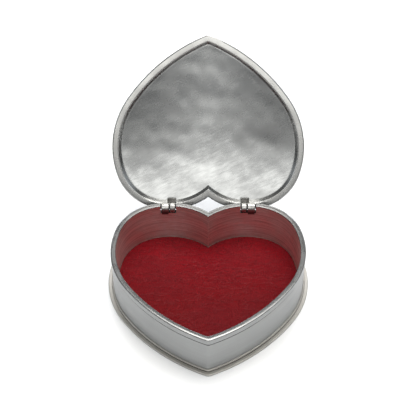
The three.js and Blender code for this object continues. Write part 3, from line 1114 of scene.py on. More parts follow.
@dataclass
class BoxSizes:
    """The sizes that the pieces share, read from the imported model's nodes.

    Attributes:
        columns: points round an outline.
        soft_corner: how far the outline's corners are blurred.
        sharpest: the smallest radius at a point.
        lining_gap: the gap round the lining.
        outline: the rim band's heart.
        rim_z: the height of the rim band's top.
        band_z: the height of its underside, where the wall ends.
        floor_z: the height of the base plate's top.
        foot_z: the height of the foot moulding.
        width: the rim band's width.
        length: its length, before the point is rounded.
        step: how far the wall is set in from the rim band.
        foot_reach: how far the foot stands out from the rim band.
        leather_low: the height of the leather's underside.
        leather_high: the height of its top.
        lining: the lining's offset from the rim band's outside, below zero.
        wall: how far the wall's inside is from the rim band's outside.
    """

    columns: int = 720
    soft_corner: float = 0.18 * MM
    sharpest: float = 0.3 * MM
    lining_gap: float = 0.4 * MM
    outline: HeartOutline = field(init=False)
    rim_z: float = field(init=False)
    band_z: float = field(init=False)
    floor_z: float = field(init=False)
    foot_z: float = field(init=False)
    width: float = field(init=False)
    length: float = field(init=False)
    step: float = field(init=False)
    foot_reach: float = field(init=False)
    leather_low: float = field(init=False)
    leather_high: float = field(init=False)
    lining: float = field(init=False)
    wall: float = field(init=False)

    def __post_init__(self) -> None:
        """Reads the nodes' boxes."""
        band_low, band_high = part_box("rim_band")
        wall_low, wall_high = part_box("body_wall")
        foot_low, foot_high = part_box("base_plate")
        lining_low, lining_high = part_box("floor_leather")
        self.rim_z = band_high.z
        self.band_z = wall_high.z
        self.floor_z = wall_low.z
        self.foot_z = foot_high.z
        self.width = band_high.x - band_low.x
        self.length = 2 * band_high.y
        self.step = (self.width - (wall_high.x - wall_low.x)) / 2
        self.foot_reach = (foot_high.x - foot_low.x - self.width) / 2
        self.leather_low = lining_low.z
        self.leather_high = lining_high.z
        self.lining = (lining_high.x - lining_low.x - self.width) / 2
        self.wall = -self.lining - self.lining_gap
        self.outline = HeartOutline(self.width, self.length)

    def ring(
        self, profile: np.ndarray, point_radius: float, inner_point: Optional[float] = None
    ) -> np.ndarray:
        """Rows of points where each profile row (out, up) runs round the heart.

        Args:
            profile: rows of out and up.
            point_radius: the radius at the point on the outside.
            inner_point: the radius at the point on the inside, where it differs.

        Returns:
            An array of rows, columns and x, y, z.
        """
        out = profile[:, 0]
        inner = point_radius if inner_point is None else inner_point
        share = (out - out.min()) / max(np.ptp(out), 1e-9)
        rows = []
        for offset, height, part in zip(out, profile[:, 1], share):
            radius = max(inner + (point_radius - inner) * part, self.sharpest)
            flat = self.outline.loop(offset, radius, self.columns, self.soft_corner)
            rows.append(np.column_stack([flat, np.full(len(flat), height)]))
        return np.array(rows)

    def shrinking(self, offset: float, point_radius: float, scales: np.ndarray, blur: float) -> np.ndarray:
        """Outlines that shrink to the middle and grow rounder as they do.

        A row is the outline at offset, times its scale about the heart's middle, and blurred
        along itself by blur times how far it has shrunk.

        Args:
            offset: how far outside the rim band's heart the first one lies.
            point_radius: its radius at the point.
            scales: the scale of each outline.
            blur: how far an outline shrunk to nothing would be blurred.

        Returns:
            An array of rows, columns and x, y.
        """
        edge = self.outline.loop(offset, point_radius, self.columns, self.soft_corner)
        around = np.linalg.norm(np.roll(edge, -1, 0) - edge, axis=1).sum()
        softer = [(s, self.soft_corner + blur * (1 - s)) for s in scales]
        return np.array([edge if s >= 1 else blurred(edge, sigma, around) * s for s, sigma in softer])


@dataclass
class Wall:
    """The upright wall, with a smooth satin outside and a brushed inside.

    Attributes:
        sizes: the shared sizes.
        hinges: the hinges that the wall makes room for.
        outer_point: the radius at the heart's point, outside.
        inner_point: the same inside.
        swell_height: how far its faces swell.
        swell_long: the longest of the swell's waves.
        swell_short: the shortest.
        swell_count: how many waves there are.
        swell_round: the radius of the circle that the waves are laid round.
        line_height: how tall the dark line under the rim band is.
        line_depth: how deep that line is.
        line_round: the radius of the wall's edge under it.
        lobe_x: how far from the middle the painted sheen on each lobe's inside is.
        lobe_width: how wide that part is.
        mesh_step: the longest side of a face up the wall.
    """

    sizes: BoxSizes
    hinges: "HingePair"
    outer_point: float = 1.8 * MM
    inner_point: float = 3.0 * MM
    swell_height: float = 0.015 * MM
    swell_long: float = 45 * MM
    swell_short: float = 14 * MM
    swell_count: int = 9
    swell_round: float = 50 * MM
    line_height: float = 0.8 * MM
    line_depth: float = 0.35 * MM
    line_round: float = 0.04 * MM
    lobe_x: float = 20 * MM
    lobe_width: float = 15 * MM
    mesh_step: float = 1.5 * MM

    def _polished(self, rows: np.ndarray, profile: np.ndarray) -> np.ndarray:
        """How bright the inside is made: edge wear, and a painted sheen at the back of each lobe.

        It is exp(-((|x| - x0)/w)^2), where y is behind the middle, on the profile's inner side.

        Args:
            rows: the wall's points.
            profile: its rows of across, up, wear and finish.

        Returns:
            A value from 0 to 1 for each point.
        """
        lobe = np.exp(-(((np.abs(rows[..., 0]) - self.lobe_x) / self.lobe_width) ** 2)) * (rows[..., 1] > 0)
        inner = profile[:, 0] < -self.sizes.step - self.sizes.wall / 2
        return np.maximum(lobe * inner[:, None], profile[:, 2:3] * np.ones(rows.shape[1]))

    def build(self, finishes: Finishes) -> bpy.types.Object:
        """The wall: a profile carried round the heart, set back in a dark line under the rim band.

        Its faces stand out by a sum of long sine waves over the way round and the height, as a
        wall that was bent and planished by hand.

        Args:
            finishes: every material of the box.

        Returns:
            The wall, riding on the box.
        """
        s = self.sizes
        under, deep = s.band_z - self.line_height, -s.step - self.line_depth
        # The groove under the rim band is near black: part patina, part painted shade.
        corners = [
            (-s.step, s.floor_z, 0),
            (-s.step, under, self.line_round, 2),
            (deep, under, 0, 2),
            (deep, s.band_z, 0, 1),
            (-s.wall, s.band_z, 0, 1),
            (-s.wall, s.floor_z, 0),
        ]
        profile = refined(filleted(corners), self.mesh_step)
        rows = s.ring(profile, self.outer_point, self.inner_point)
        rng = np.random.default_rng(SEED)
        waves = random_waves(rng, self.swell_count, self.swell_long, self.swell_short, self.swell_height)
        along = np.linspace(0, 2 * math.pi, s.columns, endpoint=False)[None, :] * self.swell_round
        swell = ripple(along + 0 * rows[..., 2], rows[..., 2], waves)
        rows[..., :2] *= 1 + swell[..., None] / (s.width / 2)
        finish = profile[:, 3].astype(int)
        # The inside is brighter at the back of each lobe: a painted sheen.
        wall = Lofted(rows, self._polished(rows, profile), True, finish).build("wall_body")
        dress(wall, "satin_pewter", finishes.satin, finishes.inside, finishes.recess)
        cut_away(wall, self.hinges.notches())
        # The notches' cut faces are near black: painted shade.
        self.hinges.darken_notches(wall, 2)
        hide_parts("body_wall")
        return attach(wall, "box")


@dataclass
class RimBand:
    """The band round the top of the wall: an upright face, a round shoulder and a low crown.

    Attributes:
        sizes: the shared sizes.
        hinges: the hinges that part the band.
        point: the radius at the heart's point, outside.
        inner_point: the same inside.
        lap: how far the band's underside reaches in past the wall's outside.
        low_round: the radius of its lower edge.
        shoulder: the radius between the upright face and the top.
        crown: how much higher the top's crest is than its edges.
        crest: how far in the crest is.
        crest_round: how far to each side the crest is rounded.
        lip: the cut across the inner edge.
        lip_round: the radius of that cut's corners.
        bright_depth: how far down inside the rim's own finish reaches.
        mesh_step: the longest side of a face across the band.
    """

    sizes: BoxSizes
    hinges: "HingePair"
    point: float = 3.6 * MM
    inner_point: float = 3.0 * MM
    lap: float = 0.3 * MM
    low_round: float = 0.08 * MM
    shoulder: float = 0.62 * MM
    crown: float = 0.14 * MM
    crest: float = 1.1 * MM
    crest_round: float = 0.5 * MM
    lip: float = 0.12 * MM
    lip_round: float = 0.1 * MM
    bright_depth: float = 0.5 * MM
    mesh_step: float = 1.2 * MM

    def build(self, finishes: Finishes) -> bpy.types.Object:
        """The band: a filleted profile carried round the heart, parted at the hinges.

        Args:
            finishes: every material of the box.

        Returns:
            The band, riding on the box.
        """
        s = self.sizes
        top, low, inner = s.rim_z, s.band_z, -s.wall
        corners = [
            (-s.step - self.lap, low, 0, 3),
            (0.0, low, self.low_round, 3),
            (0.0, top - self.crown - self.shoulder, 0, 3),
            (0.0, top - self.crown, self.shoulder),
            (-self.crest, top, self.crest_round),
            (inner + self.lip, top - self.crown, self.lip_round),
            (inner, top - self.crown - self.lip, self.lip_round),
            (inner, top - self.bright_depth, 0, 2),
            (inner, low, 0, 2),
        ]
        profile = refined(filleted(corners, 6), self.mesh_step)
        rows = s.ring(profile, self.point, self.inner_point)
        band = Lofted(rows, profile[:, 2], True, profile[:, 3].astype(int)).build("rim_bead")
        dress(band, "bright_pewter", finishes.rim, finishes.recess, finishes.inside, finishes.satin)
        cut_away(band, self.hinges.notches())
        # The notches' cut faces are near black: painted shade.
        self.hinges.darken_notches(band, 1)
        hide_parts("rim_band", "rim_band_cleft")
        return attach(band, "box")


@dataclass
class Base:
    """The base plate: a low flange, and a small bead where it meets the wall.

    Attributes:
        sizes: the shared sizes.
        point: the radius at the heart's point, outside.
        inner_point: the same inside.
        inner_rows: rows from the middle to the edge, above and below.
        innermost: the scale of the first of them.
        flange: the height of the flange.
        slope: how much higher the flange is where it meets the bead.
        bead: the bead's radius.
        bead_arc_deg: where round its section the bead starts and ends.
        bead_rows: rows over the bead.
        mesh_step: the longest side of a face across the foot.
    """

    sizes: BoxSizes
    point: float = 3.4 * MM
    inner_point: float = 1.8 * MM
    inner_rows: int = 14
    innermost: float = 0.05
    flange: float = 1.15 * MM
    slope: float = 0.05 * MM
    bead: float = 0.62 * MM
    bead_arc_deg: tuple[float, float] = (-38.0, 118.0)
    bead_rows: int = 16
    mesh_step: float = 0.5 * MM

    def build(self, finishes: Finishes) -> bpy.types.Object:
        """The base: from the middle of the underside, out round the flange, and back over the top.

        The bead's section is a circle's arc, out = r cos a and up = h + r sin a.

        Args:
            finishes: every material of the box.

        Returns:
            The base, riding on the box.
        """
        s = self.sizes
        reach, height = s.foot_reach, self.flange
        # The flange takes the foot's satin, partly painted contact shadow; the crevice before the bead is
        # near black, painted shade.
        edge = filleted([
            (reach - 0.25 * MM, 0.0, 0),
            (reach, 0.0, 0.16 * MM),
            (reach, height, 0.42 * MM, 2),
            (self.bead, height + self.slope, 0, 1),
            (0.0, 0.0, 0),
        ], 8)[:-1]
        angle = np.radians(np.linspace(*self.bead_arc_deg, self.bead_rows))
        centre = s.foot_z - self.bead
        out, up = self.bead * np.cos(angle), centre + self.bead * np.sin(angle)
        bead = np.column_stack([out, up, np.sin(angle) ** 2, np.full(len(angle), 2)])
        # Under the wall nothing shows, so the rest is plain.
        hidden = np.array([
            [-s.step, s.foot_z - 0.1 * MM, 0, 0],
            [-s.step, s.floor_z, 0, 0],
            [-s.wall, s.floor_z, 0, 0],
        ])
        profile = refined(np.vstack([edge, bead, hidden]), self.mesh_step, closed=False)
        foot = s.ring(profile, self.point, self.inner_point)
        scales = np.linspace(self.innermost, 1, self.inner_rows)[:-1]
        under = foot[:1] * scales[:, None, None]
        over = foot[-1:] * scales[::-1, None, None] * [1, 1, 0] + [0, 0, s.floor_z]
        rows = np.concatenate([under, foot, over])
        plain_under, plain_over = np.zeros(len(under)), np.zeros(len(over))
        wear = np.concatenate([plain_under, np.clip(profile[:, 2], 0, 1), plain_over])
        finish = np.concatenate([plain_under, profile[:, 3], plain_over]).astype(int)
        base = Lofted(rows, wear, False, finish).build("base_foot")
        dress(base, "bright_pewter", finishes.bright, finishes.recess, finishes.foot)
        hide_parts("base_plate")
        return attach(base, "box")


@dataclass
class FloorLining:
    """The leather on the floor, cut to the heart and glued to its card.

    Attributes:
        sizes: the shared sizes.
        point: the radius at the heart's point.
        rows: outlines from the edge to the middle.
        under_every: how many of them there are for each outline of the underside.
        blur: how much rounder the outlines grow towards the middle.
        bulge: how far the rolled edge stands out, as a share of the outline's size.
        roll_rows: rows over the rolled edge.
        relief_fade: the share of the way in over which the relief sets in.
        swell: the height of its broad swells.
        fold: the height of its wrinkles.
        fold_slant: how much the wrinkles' waves keep of their change along X.
        fold_place: the middle of the wrinkled part.
        fold_spread: how far that part reaches along X and Y.
        fold_least: how much of the wrinkles is left elsewhere.
        sharp_deg: edges that turn by more than this are sharp.
    """

    sizes: BoxSizes
    point: float = 2.6 * MM
    rows: int = 96
    under_every: int = 6
    blur: float = 16 * MM
    bulge: float = 0.003
    roll_rows: int = 5
    relief_fade: float = 0.02
    swell: float = 0.07 * MM
    fold: float = 0.055 * MM
    fold_slant: float = 0.12
    fold_place: tuple[float, float] = (10 * MM, 18 * MM)
    fold_spread: tuple[float, float] = (30 * MM, 11 * MM)
    fold_least: float = 0.05
    sharp_deg: float = 60.0

    def _relief(self, x: np.ndarray, y: np.ndarray) -> np.ndarray:
        """The leather's rise and fall: broad swells, and wrinkles that run from side to side.

        Swells are sine waves in every direction. Wrinkles are short waves along Y whose lines
        bend with X, strongest behind the middle of the floor: exp(-((x - x0)/w)^2 - ((y - y0)/l)^2).

        Args:
            x: places along X.
            y: places along Y.

        Returns:
            The height at each place.
        """
        rng = np.random.default_rng(SEED + 1)
        swell = ripple(x, y, random_waves(rng, 12, 40 * MM, 12 * MM, self.swell))
        bend = ripple(x, y, random_waves(rng, 8, 30 * MM, 9 * MM, 1.3 * MM))
        folds = random_waves(rng, 10, 2.6 * MM, 1.3 * MM, self.fold)
        folds[:, 0] *= self.fold_slant
        (x0, y0), (spread_x, spread_y) = self.fold_place, self.fold_spread
        where = np.exp(-(((x - x0) / spread_x) ** 2) - ((y - y0) / spread_y) ** 2)
        return swell + ripple(x, y + bend, folds) * (self.fold_least + where)

    def build(self, finishes: Finishes) -> bpy.types.Object:
        """The leather: a rolled edge, then outlines that shrink to the middle over its relief.

        Args:
            finishes: every material of the box.

        Returns:
            The leather, riding on the box.
        """
        s = self.sizes
        low, high = s.leather_low, s.leather_high
        scales = np.linspace(1, INNERMOST, self.rows)
        flat = s.shrinking(s.lining, self.point, scales, self.blur)
        inset = np.minimum(1.0, (1 - scales) / self.relief_fade)
        relief = self._relief(flat[..., 0], flat[..., 1]) * inset[:, None]
        # The relief is laid a little below the sheet's top, to leave room for its swells.
        top = np.dstack([flat, high - self.swell * 1.2 + relief])
        roll = np.linspace(0, 1, self.roll_rows)[:, None, None]
        edge_out = top[:1] * [1, 1, 0]
        side = edge_out + [0, 0, 1] * (low + (top[:1, :, 2:] - low) * np.sqrt(roll))
        side[..., :2] *= 1 + self.bulge * np.sin(np.pi * roll)
        fewer = flat[:: self.under_every]
        under = np.dstack([fewer[::-1], np.full(fewer.shape[:2], low)])
        rows = np.concatenate([under, side[1:-1], top])
        leather = Lofted(rows, np.zeros(len(rows)), tube=False).build("floor_lining", self.sharp_deg)
        dress(leather, "red_leather", finishes.leather)
        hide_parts("floor_leather")
        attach(leather, "box")
        return leather


# ---- The lid ----------------------------------------------------------------------------------


@dataclass
class LidPose:
    """How the lid stands open: the hinge line, and the turn from shut to rest.

    Attributes:
        axis_y: the hinge line's place along Y.
        axis_z: its height.
        open_angle: the turn back from shut, in radians.
    """

    axis_y: float
    axis_z: float
    open_angle: float

    @classmethod
    def from_frame(cls) -> "LidPose":
        """Reads the hinge joint.

        Returns:
            The pose.
        """
        joint = next(j for j in frame["joints"] if j["name"] == "lid_hinge")
        _, axis_y, axis_z = joint["pos_m"]
        return cls(axis_y, axis_z, math.radians(max(joint["range_deg"])))

    def opened(self, points: np.ndarray) -> np.ndarray:
        """Points of the shut lid, turned back to where they are at rest.

        y' = y cos a + z sin a and z' = z cos a - y sin a, about the hinge line.

        Args:
            points: places on the shut lid.

        Returns:
            The same places on the open lid.
        """
        c, s = math.cos(self.open_angle), math.sin(self.open_angle)
        y, z = points[..., 1] - self.axis_y, points[..., 2] - self.axis_z
        turned = [points[..., 0], self.axis_y + y * c + z * s, self.axis_z + z * c - y * s]
        return np.stack(turned, -1)


@dataclass
class Lid:
    """The lid: a moulded frame and a domed panel, drawn shut and then opened.

    Attributes:
        sizes: the shared sizes.
        pose: how the lid stands open.
        clearance: the gap between the shut lid and the rim band.
        overhang: how far the frame stands out from the rim band.
        frame_height: how high above the shut lid's face the panel is laid.
        crease: how far in from the frame's outside its step meets the panel.
        point: the radius at the heart's point, outside.
        inner_point: the same inside.
        panel_inset: how far the panel's edge is set in from the frame's outside.
        panel_edge: the height of that edge.
        dish: how deep the hollow is, and how high the dome.
        dome_power: how flat the dome is in the middle.
        lobe_share: how much deeper it is at the lobes.
        blur: how much rounder its outlines grow towards the middle.
        dome_rows: outlines from its edge to its middle.
        hammer: the height of the hammered ripple in the hollow.
        hammer_outside: its height on the dome.
        hammer_fade: the share of the way in over which it sets in.
        rub_width: half the width of the painted sheen down the middle.
        rub_from: how far back the painted sheen on the lobes starts.
        rub_rise: how much earlier it starts in the middle.
        rub_reach: over how long a way it sets in.
        rub_middle: how strong the painted sheen is down the middle.
        rub_lobes: how strong it is on the lobes.
        sharp_deg: edges of the panel that turn by more than this are sharp.
        face: the height of the shut lid's underside.
    """

    sizes: BoxSizes
    pose: LidPose
    clearance: float = 0.3 * MM
    overhang: float = 0.8 * MM
    frame_height: float = 2.4 * MM
    crease: float = 4.7 * MM
    point: float = 1.9 * MM
    inner_point: float = 2.4 * MM
    panel_inset: float = 1.3 * MM
    panel_edge: float = 1.0 * MM
    dish: float = 2.2 * MM
    dome_power: float = 2.4
    lobe_share: float = 0.38
    blur: float = 24 * MM
    dome_rows: int = 60
    hammer: float = 0.06 * MM
    hammer_outside: float = 0.02 * MM
    hammer_fade: float = 0.06
    rub_width: float = 24 * MM
    rub_from: float = 5 * MM
    rub_rise: float = 13 * MM
    rub_reach: float = 22 * MM
    rub_middle: float = 0.78
    rub_lobes: float = 0.92
    sharp_deg: float = 50.0
    face: float = field(init=False)

    def __post_init__(self) -> None:
        """Finds the height of the shut lid's underside."""
        self.face = self.sizes.rim_z + self.clearance

    def build_frame(self, finishes: Finishes) -> bpy.types.Object:
        """The frame: a flat face with a rounded outside and a sloping step down to the panel.

        Args:
            finishes: every material of the box.

        Returns:
            The frame, riding on the lid.
        """
        s, z, out = self.sizes, self.face, self.overhang
        # How far out and how high each corner is, and its radius.
        corners = [
            (out - 0.05 * MM, z + 0.02 * MM, 0.95 * MM),
            (out - 3.05 * MM, z, 0.12 * MM),
            (out - 3.2 * MM, z + 0.22 * MM, 0.1 * MM),
            (out - 3.55 * MM, z + 0.28 * MM, 0.22 * MM),
            (out - self.crease, z + 2.2 * MM, 0.15 * MM),
            (out - self.crease - 0.2 * MM, z + 2.62 * MM, 0),
            (out - 0.2 * MM, z + 2.66 * MM, 0.5 * MM),
            (out, z + 1.9 * MM, 0.4 * MM),
        ]
        profile = refined(filleted(corners, 8), 1.0 * MM)
        rows = self.pose.opened(s.ring(profile, self.point, self.inner_point))
        lid_frame = Lofted(rows, profile[:, 2]).build("lid_moulding")
        dress(lid_frame, "bright_pewter", finishes.bright)
        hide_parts("lid_frame")
        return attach(lid_frame, "lid")

    def _dome(self, offset: float, low: float, rise: float, waves: np.ndarray) -> np.ndarray:
        """Rows from an outline to the middle, with a hammered ripple.

        Their height is low + rise (1 - s^p) (1 + k y), so the dome is fuller towards the lobes.

        Args:
            offset: how far outside the rim band's heart the first row lies.
            low: the height of that row.
            rise: how much higher the middle is.
            waves: the ripple's waves.

        Returns:
            An array of rows, columns and x, y, z.
        """
        s = self.sizes
        scales = np.linspace(1, INNERMOST, self.dome_rows)
        flat = s.shrinking(offset, self.inner_point, scales, self.blur)
        fuller = 1 + self.lobe_share * flat[..., 1] / (s.length / 2)
        height = rise * (1 - scales**self.dome_power)[:, None] * fuller
        fade = np.minimum(1.0, (1 - scales) / self.hammer_fade)
        bumps = ripple(flat[..., 0], flat[..., 1], waves) * fade[:, None]
        return np.dstack([flat, low + height + bumps])

    def _rubbed(self, points: np.ndarray) -> np.ndarray:
        """How strong the hollow's painted sheen is: down its middle, and all over the lobes.

        It is the larger of a m and b r, where m is exp(-(x/w)^2) and r is a ramp of y that eases
        in and out, and starts further from the lobes where m is large.

        Args:
            points: places in the hollow of the shut lid.

        Returns:
            A value from 0 to 1 for each place.
        """
        middle = np.exp(-((points[..., 0] / self.rub_width) ** 2))
        ramp = np.clip((points[..., 1] - self.rub_from + self.rub_rise * middle) / self.rub_reach, 0, 1)
        return np.maximum(self.rub_middle * middle, self.rub_lobes * ramp**2 * (3 - 2 * ramp))

    def build_panel(self, finishes: Finishes) -> bpy.types.Object:
        """The panel: a hollow dome seen from inside, a rounded edge, and the dome outside.

        Args:
            finishes: every material of the box.

        Returns:
            The panel, riding on the lid.
        """
        s = self.sizes
        rng = np.random.default_rng(SEED + 2)
        low = self.face + self.frame_height + 0.02 * MM
        top = self.face + self.frame_height + 0.3 * MM + self.panel_edge
        hammered = random_waves(rng, 26, 30 * MM, 7 * MM, self.hammer)
        planished = random_waves(rng, 14, 40 * MM, 14 * MM, self.hammer_outside)
        edge_out = self.overhang - self.panel_inset
        inside = self._dome(self.overhang - self.crease - 0.05 * MM, low, self.dish, hammered)
        outside = self._dome(edge_out - 0.5 * MM, top, self.dish, planished)
        # How far out and how high each row of the edge is, and how worn.
        corners = np.array([
            [edge_out - 0.3 * MM, low + 0.28 * MM, 0.0],
            [edge_out - 0.05 * MM, low + 0.32 * MM, 0.2],
            [edge_out, low + 0.6 * MM, 0.3],
            [edge_out, top - 0.3 * MM, 0.8],
            [edge_out - 0.15 * MM, top - 0.08 * MM, 1.0],
        ])
        edge = s.ring(corners, self.point)
        rows = np.concatenate([inside[::-1], edge, outside])
        plain = np.ones(s.columns)
        worn = np.concatenate([corners[:, 2], np.zeros(len(outside))])[:, None] * plain
        # The hollow's brightening is a painted sheen; the edge's is its wear.
        wear = np.concatenate([self._rubbed(inside[::-1]), worn])
        finish = np.concatenate([np.zeros(len(inside)), np.ones(len(edge) + len(outside))]).astype(int)
        panel = Lofted(self.pose.opened(rows), wear, False, finish).build("lid_dish", self.sharp_deg)
        dress(panel, "satin_pewter", finishes.dish, finishes.satin)
        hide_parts("lid_panel")
        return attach(panel, "lid")


# ---- The hinges -------------------------------------------------------------------------------


class Side(Enum):
    """The two sides of the box."""

    LEFT = -1
    RIGHT = 1

    @property
    def word(self) -> str:
        """The side's name as the nodes spell it."""
        return self.name.lower()


@dataclass
class HingePair:
    """The two butt hinges let into the back of the rim.

    Attributes:
        pose: the hinge line and the lid's turn.
        sizes: the shared sizes.
        clearance: the gap beside the hinge, and between the shut lid and the rim band.
        bevel: the radius of a knuckle's ends.
        crown: how much thicker a knuckle is in its middle.
        leaf_round: the radius of the fixed leaf's edges.
        tab_round: the radius of the tab's edges.
        tab_reach: how far in front of the hinge line the tab ends.
        tab_back: how far in front of the hinge line it begins.
        tab_height: how thick the tab is.
        body_x: the fixed leaf's near and far sides.
        lid_x: the moving knuckle's.
        tab_x: the tab's.
        pin_x: the pin's.
        notch_x: the notch's.
        seat_low: the height of the notch's floor.
        seat_y: the front of the fixed leaf.
        radius: a knuckle's radius.
        pin_radius: the pin's radius.
    """

    pose: LidPose
    sizes: BoxSizes
    clearance: float = 0.3 * MM
    bevel: float = 0.22 * MM
    crown: float = 0.06 * MM
    leaf_round: float = 0.12 * MM
    tab_round: float = 0.16 * MM
    tab_reach: float = 4.4 * MM
    tab_back: float = 1.95 * MM
    tab_height: float = 0.95 * MM
    body_x: tuple[float, float] = field(init=False)
    lid_x: tuple[float, float] = field(init=False)
    tab_x: tuple[float, float] = field(init=False)
    pin_x: tuple[float, float] = field(init=False)
    notch_x: tuple[float, float] = field(init=False)
    seat_low: float = field(init=False)
    seat_y: float = field(init=False)
    radius: float = field(init=False)
    pin_radius: float = field(init=False)

    def __post_init__(self) -> None:
        """Reads the hinge nodes on the right side, which the left side mirrors."""
        leaf_low, leaf_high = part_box("hinge_body_leaf_right")
        tab_low, tab_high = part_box("hinge_lid_leaf_right")
        pin_low, pin_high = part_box("hinge_pin_right")
        self.body_x = (leaf_low.x, leaf_high.x)
        self.seat_low = leaf_low.z
        self.seat_y = leaf_low.y
        self.radius = leaf_high.z - self.pose.axis_z
        self.tab_x = (tab_low.x, tab_high.x)
        self.pin_x = (pin_low.x, pin_high.x)
        self.pin_radius = (pin_high.z - pin_low.z) / 2
        self.lid_x = (tab_low.x + self.clearance, leaf_low.x - 2 * self.clearance)
        self.notch_x = (self.pin_x[0] - self.clearance, self.pin_x[1] + self.clearance)

    def notches(self) -> list[bpy.types.Object]:
        """The two boxes to cut out of the wall and the rim band.

        Returns:
            The cutters, one on each side.
        """
        reach = 12 * MM
        made = []
        for side in Side:
            x = sorted(side.value * v for v in self.notch_x)
            low = (x[0], self.pose.axis_y - reach, self.seat_low)
            high = (x[1], self.pose.axis_y + reach, self.sizes.rim_z + reach)
            points, faces = block(low, high)
            made.append(mesh_object(f"notch_{side.word}", points, faces))
        return made

    def darken_notches(self, piece: bpy.types.Object, number: int) -> None:
        """Gives the faces that the notches cut a material number: the near-black one, as painted shade in
        the notches.

        They are the faces with |x| and z on or inside the notches, at the back of the box.

        Args:
            piece: the piece that was cut.
            number: the material number.
        """
        count = len(piece.data.polygons)
        middle = np.zeros(count * 3, np.float32)
        piece.data.polygons.foreach_get("center", middle)
        x, y, z = middle.reshape(-1, 3).T
        near = 0.02 * MM
        inside = (np.abs(x) > self.notch_x[0] - near) & (np.abs(x) < self.notch_x[1] + near)
        inside &= (z > self.seat_low - near) & (y > 0)
        finish = np.zeros(count, np.int32)
        piece.data.polygons.foreach_get("material_index", finish)
        finish[inside] = number
        piece.data.polygons.foreach_set("material_index", finish)

    def _knuckle(self, x_range: tuple[float, float]) -> Shell:
        """A rolled knuckle: a bar with rounded ends and a slight crown.

        Its radius is R - c (2 t - 1)^2 - b (1 - sqrt(1 - (1 - n)^2)), where t goes along it from
        0 to 1, c is the crown, b the bevel, and n rises from 0 at each end to 1 at b from it.

        Args:
            x_range: where it starts and ends along X.

        Returns:
            Its points and faces.
        """
        x0, x1 = x_range
        rim = np.linspace(0, 1, 6)
        ends = np.concatenate([self.bevel * (1 - np.cos(rim * np.pi / 2)), [(x1 - x0) / 2]])
        x = np.concatenate([x0 + ends, (x1 - ends)[::-1][1:]])
        t = (x - x0) / (x1 - x0)
        near = np.clip(np.minimum(x - x0, x1 - x) / self.bevel, 0, 1)
        crowned = self.radius - self.crown * (2 * t - 1) ** 2
        radius = crowned - self.bevel * (1 - np.sqrt(1 - (1 - near) ** 2))
        return turned_bar(np.column_stack([x, radius]), (self.pose.axis_y, self.pose.axis_z))

    @staticmethod
    def _mirrored(parts: Sequence[Shell], side: Side) -> list[Shell]:
        """The right side's shells, or their mirror image on the left."""
        flip = np.array([side.value, 1, 1])
        return [(points * flip, faces) for points, faces in parts]

    def build_body_leaf(self, side: Side, finishes: Finishes) -> bpy.types.Object:
        """The fixed leaf: a knuckle on the seat that stands in the notch.

        Args:
            side: the side of the box.
            finishes: every material of the box.

        Returns:
            The leaf, riding on the box.
        """
        # The seat block: narrower than its knuckle, sunk in the notch's floor, up into the knuckle.
        inset, sunk, above = 0.15 * MM, 0.2 * MM, 0.6 * MM
        low = (self.body_x[0] + inset, self.seat_y + 0.1 * MM, self.seat_low - sunk)
        high = (self.body_x[1] - inset, self.pose.axis_y + 0.8 * MM, self.pose.axis_z - above)
        parts = [self._knuckle(self.body_x), block(low, high)]
        # The seat block takes the darker pewter: painted shade in the notch.
        leaf = joined(f"hinge_knuckle_{side.word}", self._mirrored(parts, side), (0, 1))
        rounded_edges(leaf, self.leaf_round)
        dress(leaf, "hinge_pewter", finishes.hinge, finishes.tab)
        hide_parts(f"hinge_body_leaf_{side.word}")
        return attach(leaf, "box")

    def build_lid_leaf(self, side: Side, finishes: Finishes) -> bpy.types.Object:
        """The moving leaf: a knuckle with the tab that is soldered across the lid's frame.

        Args:
            side: the side of the box.
            finishes: every material of the box.

        Returns:
            The leaf, riding on the lid.
        """
        face = self.sizes.rim_z + self.clearance
        axis_y, axis_z = self.pose.axis_y, self.pose.axis_z
        tab = block(
            (self.tab_x[0], axis_y - self.tab_reach, face - self.tab_height),
            (self.tab_x[1], axis_y - self.tab_back, face),
        )
        # The web joins the knuckle to the tab, and is a little narrower than the knuckle.
        web = block(
            (self.lid_x[0] + 0.1 * MM, axis_y - self.radius + 0.15 * MM, axis_z + 0.6 * MM),
            (self.lid_x[1] - 0.1 * MM, axis_y, face - 0.3 * MM),
        )
        opened = [(self.pose.opened(points), faces) for points, faces in (tab, web)]
        parts = [self._knuckle(self.lid_x), *opened]
        leaf = joined(f"hinge_tab_{side.word}", self._mirrored(parts, side), (0, 1, 0))
        rounded_edges(leaf, self.tab_round)
        dress(leaf, "hinge_pewter", finishes.hinge, finishes.tab)
        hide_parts(f"hinge_lid_leaf_{side.word}")
        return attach(leaf, "lid")

    def build_pin(self, side: Side, finishes: Finishes) -> bpy.types.Object:
        """The pin, with domed ends: x = x0 + e (1 - cos a) and r = R sin a.

        Args:
            side: the side of the box.
            finishes: every material of the box.

        Returns:
            The pin, riding on the box.
        """
        x0, x1 = self.pin_x
        angle = np.linspace(0.15, np.pi / 2, 7)
        dome = 0.35 * self.pin_radius
        end_x = x0 + dome * (1 - np.sin(np.pi / 2 - angle))
        start = np.column_stack([end_x, self.pin_radius * np.sin(angle)])
        stop = np.column_stack([x1 - (start[:, 0] - x0), start[:, 1]])[::-1]
        bar = turned_bar(np.vstack([start, stop]), (self.pose.axis_y, self.pose.axis_z), 32)
        pin = joined(f"pin_{side.word}", self._mirrored([bar], side))
        # The pin is near black: painted shade in the gap between the knuckles.
        dress(pin, "hinge_pewter", finishes.recess)
        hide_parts(f"hinge_pin_{side.word}")
        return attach(pin, "box")


# ---- Studio -----------------------------------------------------------------------------------


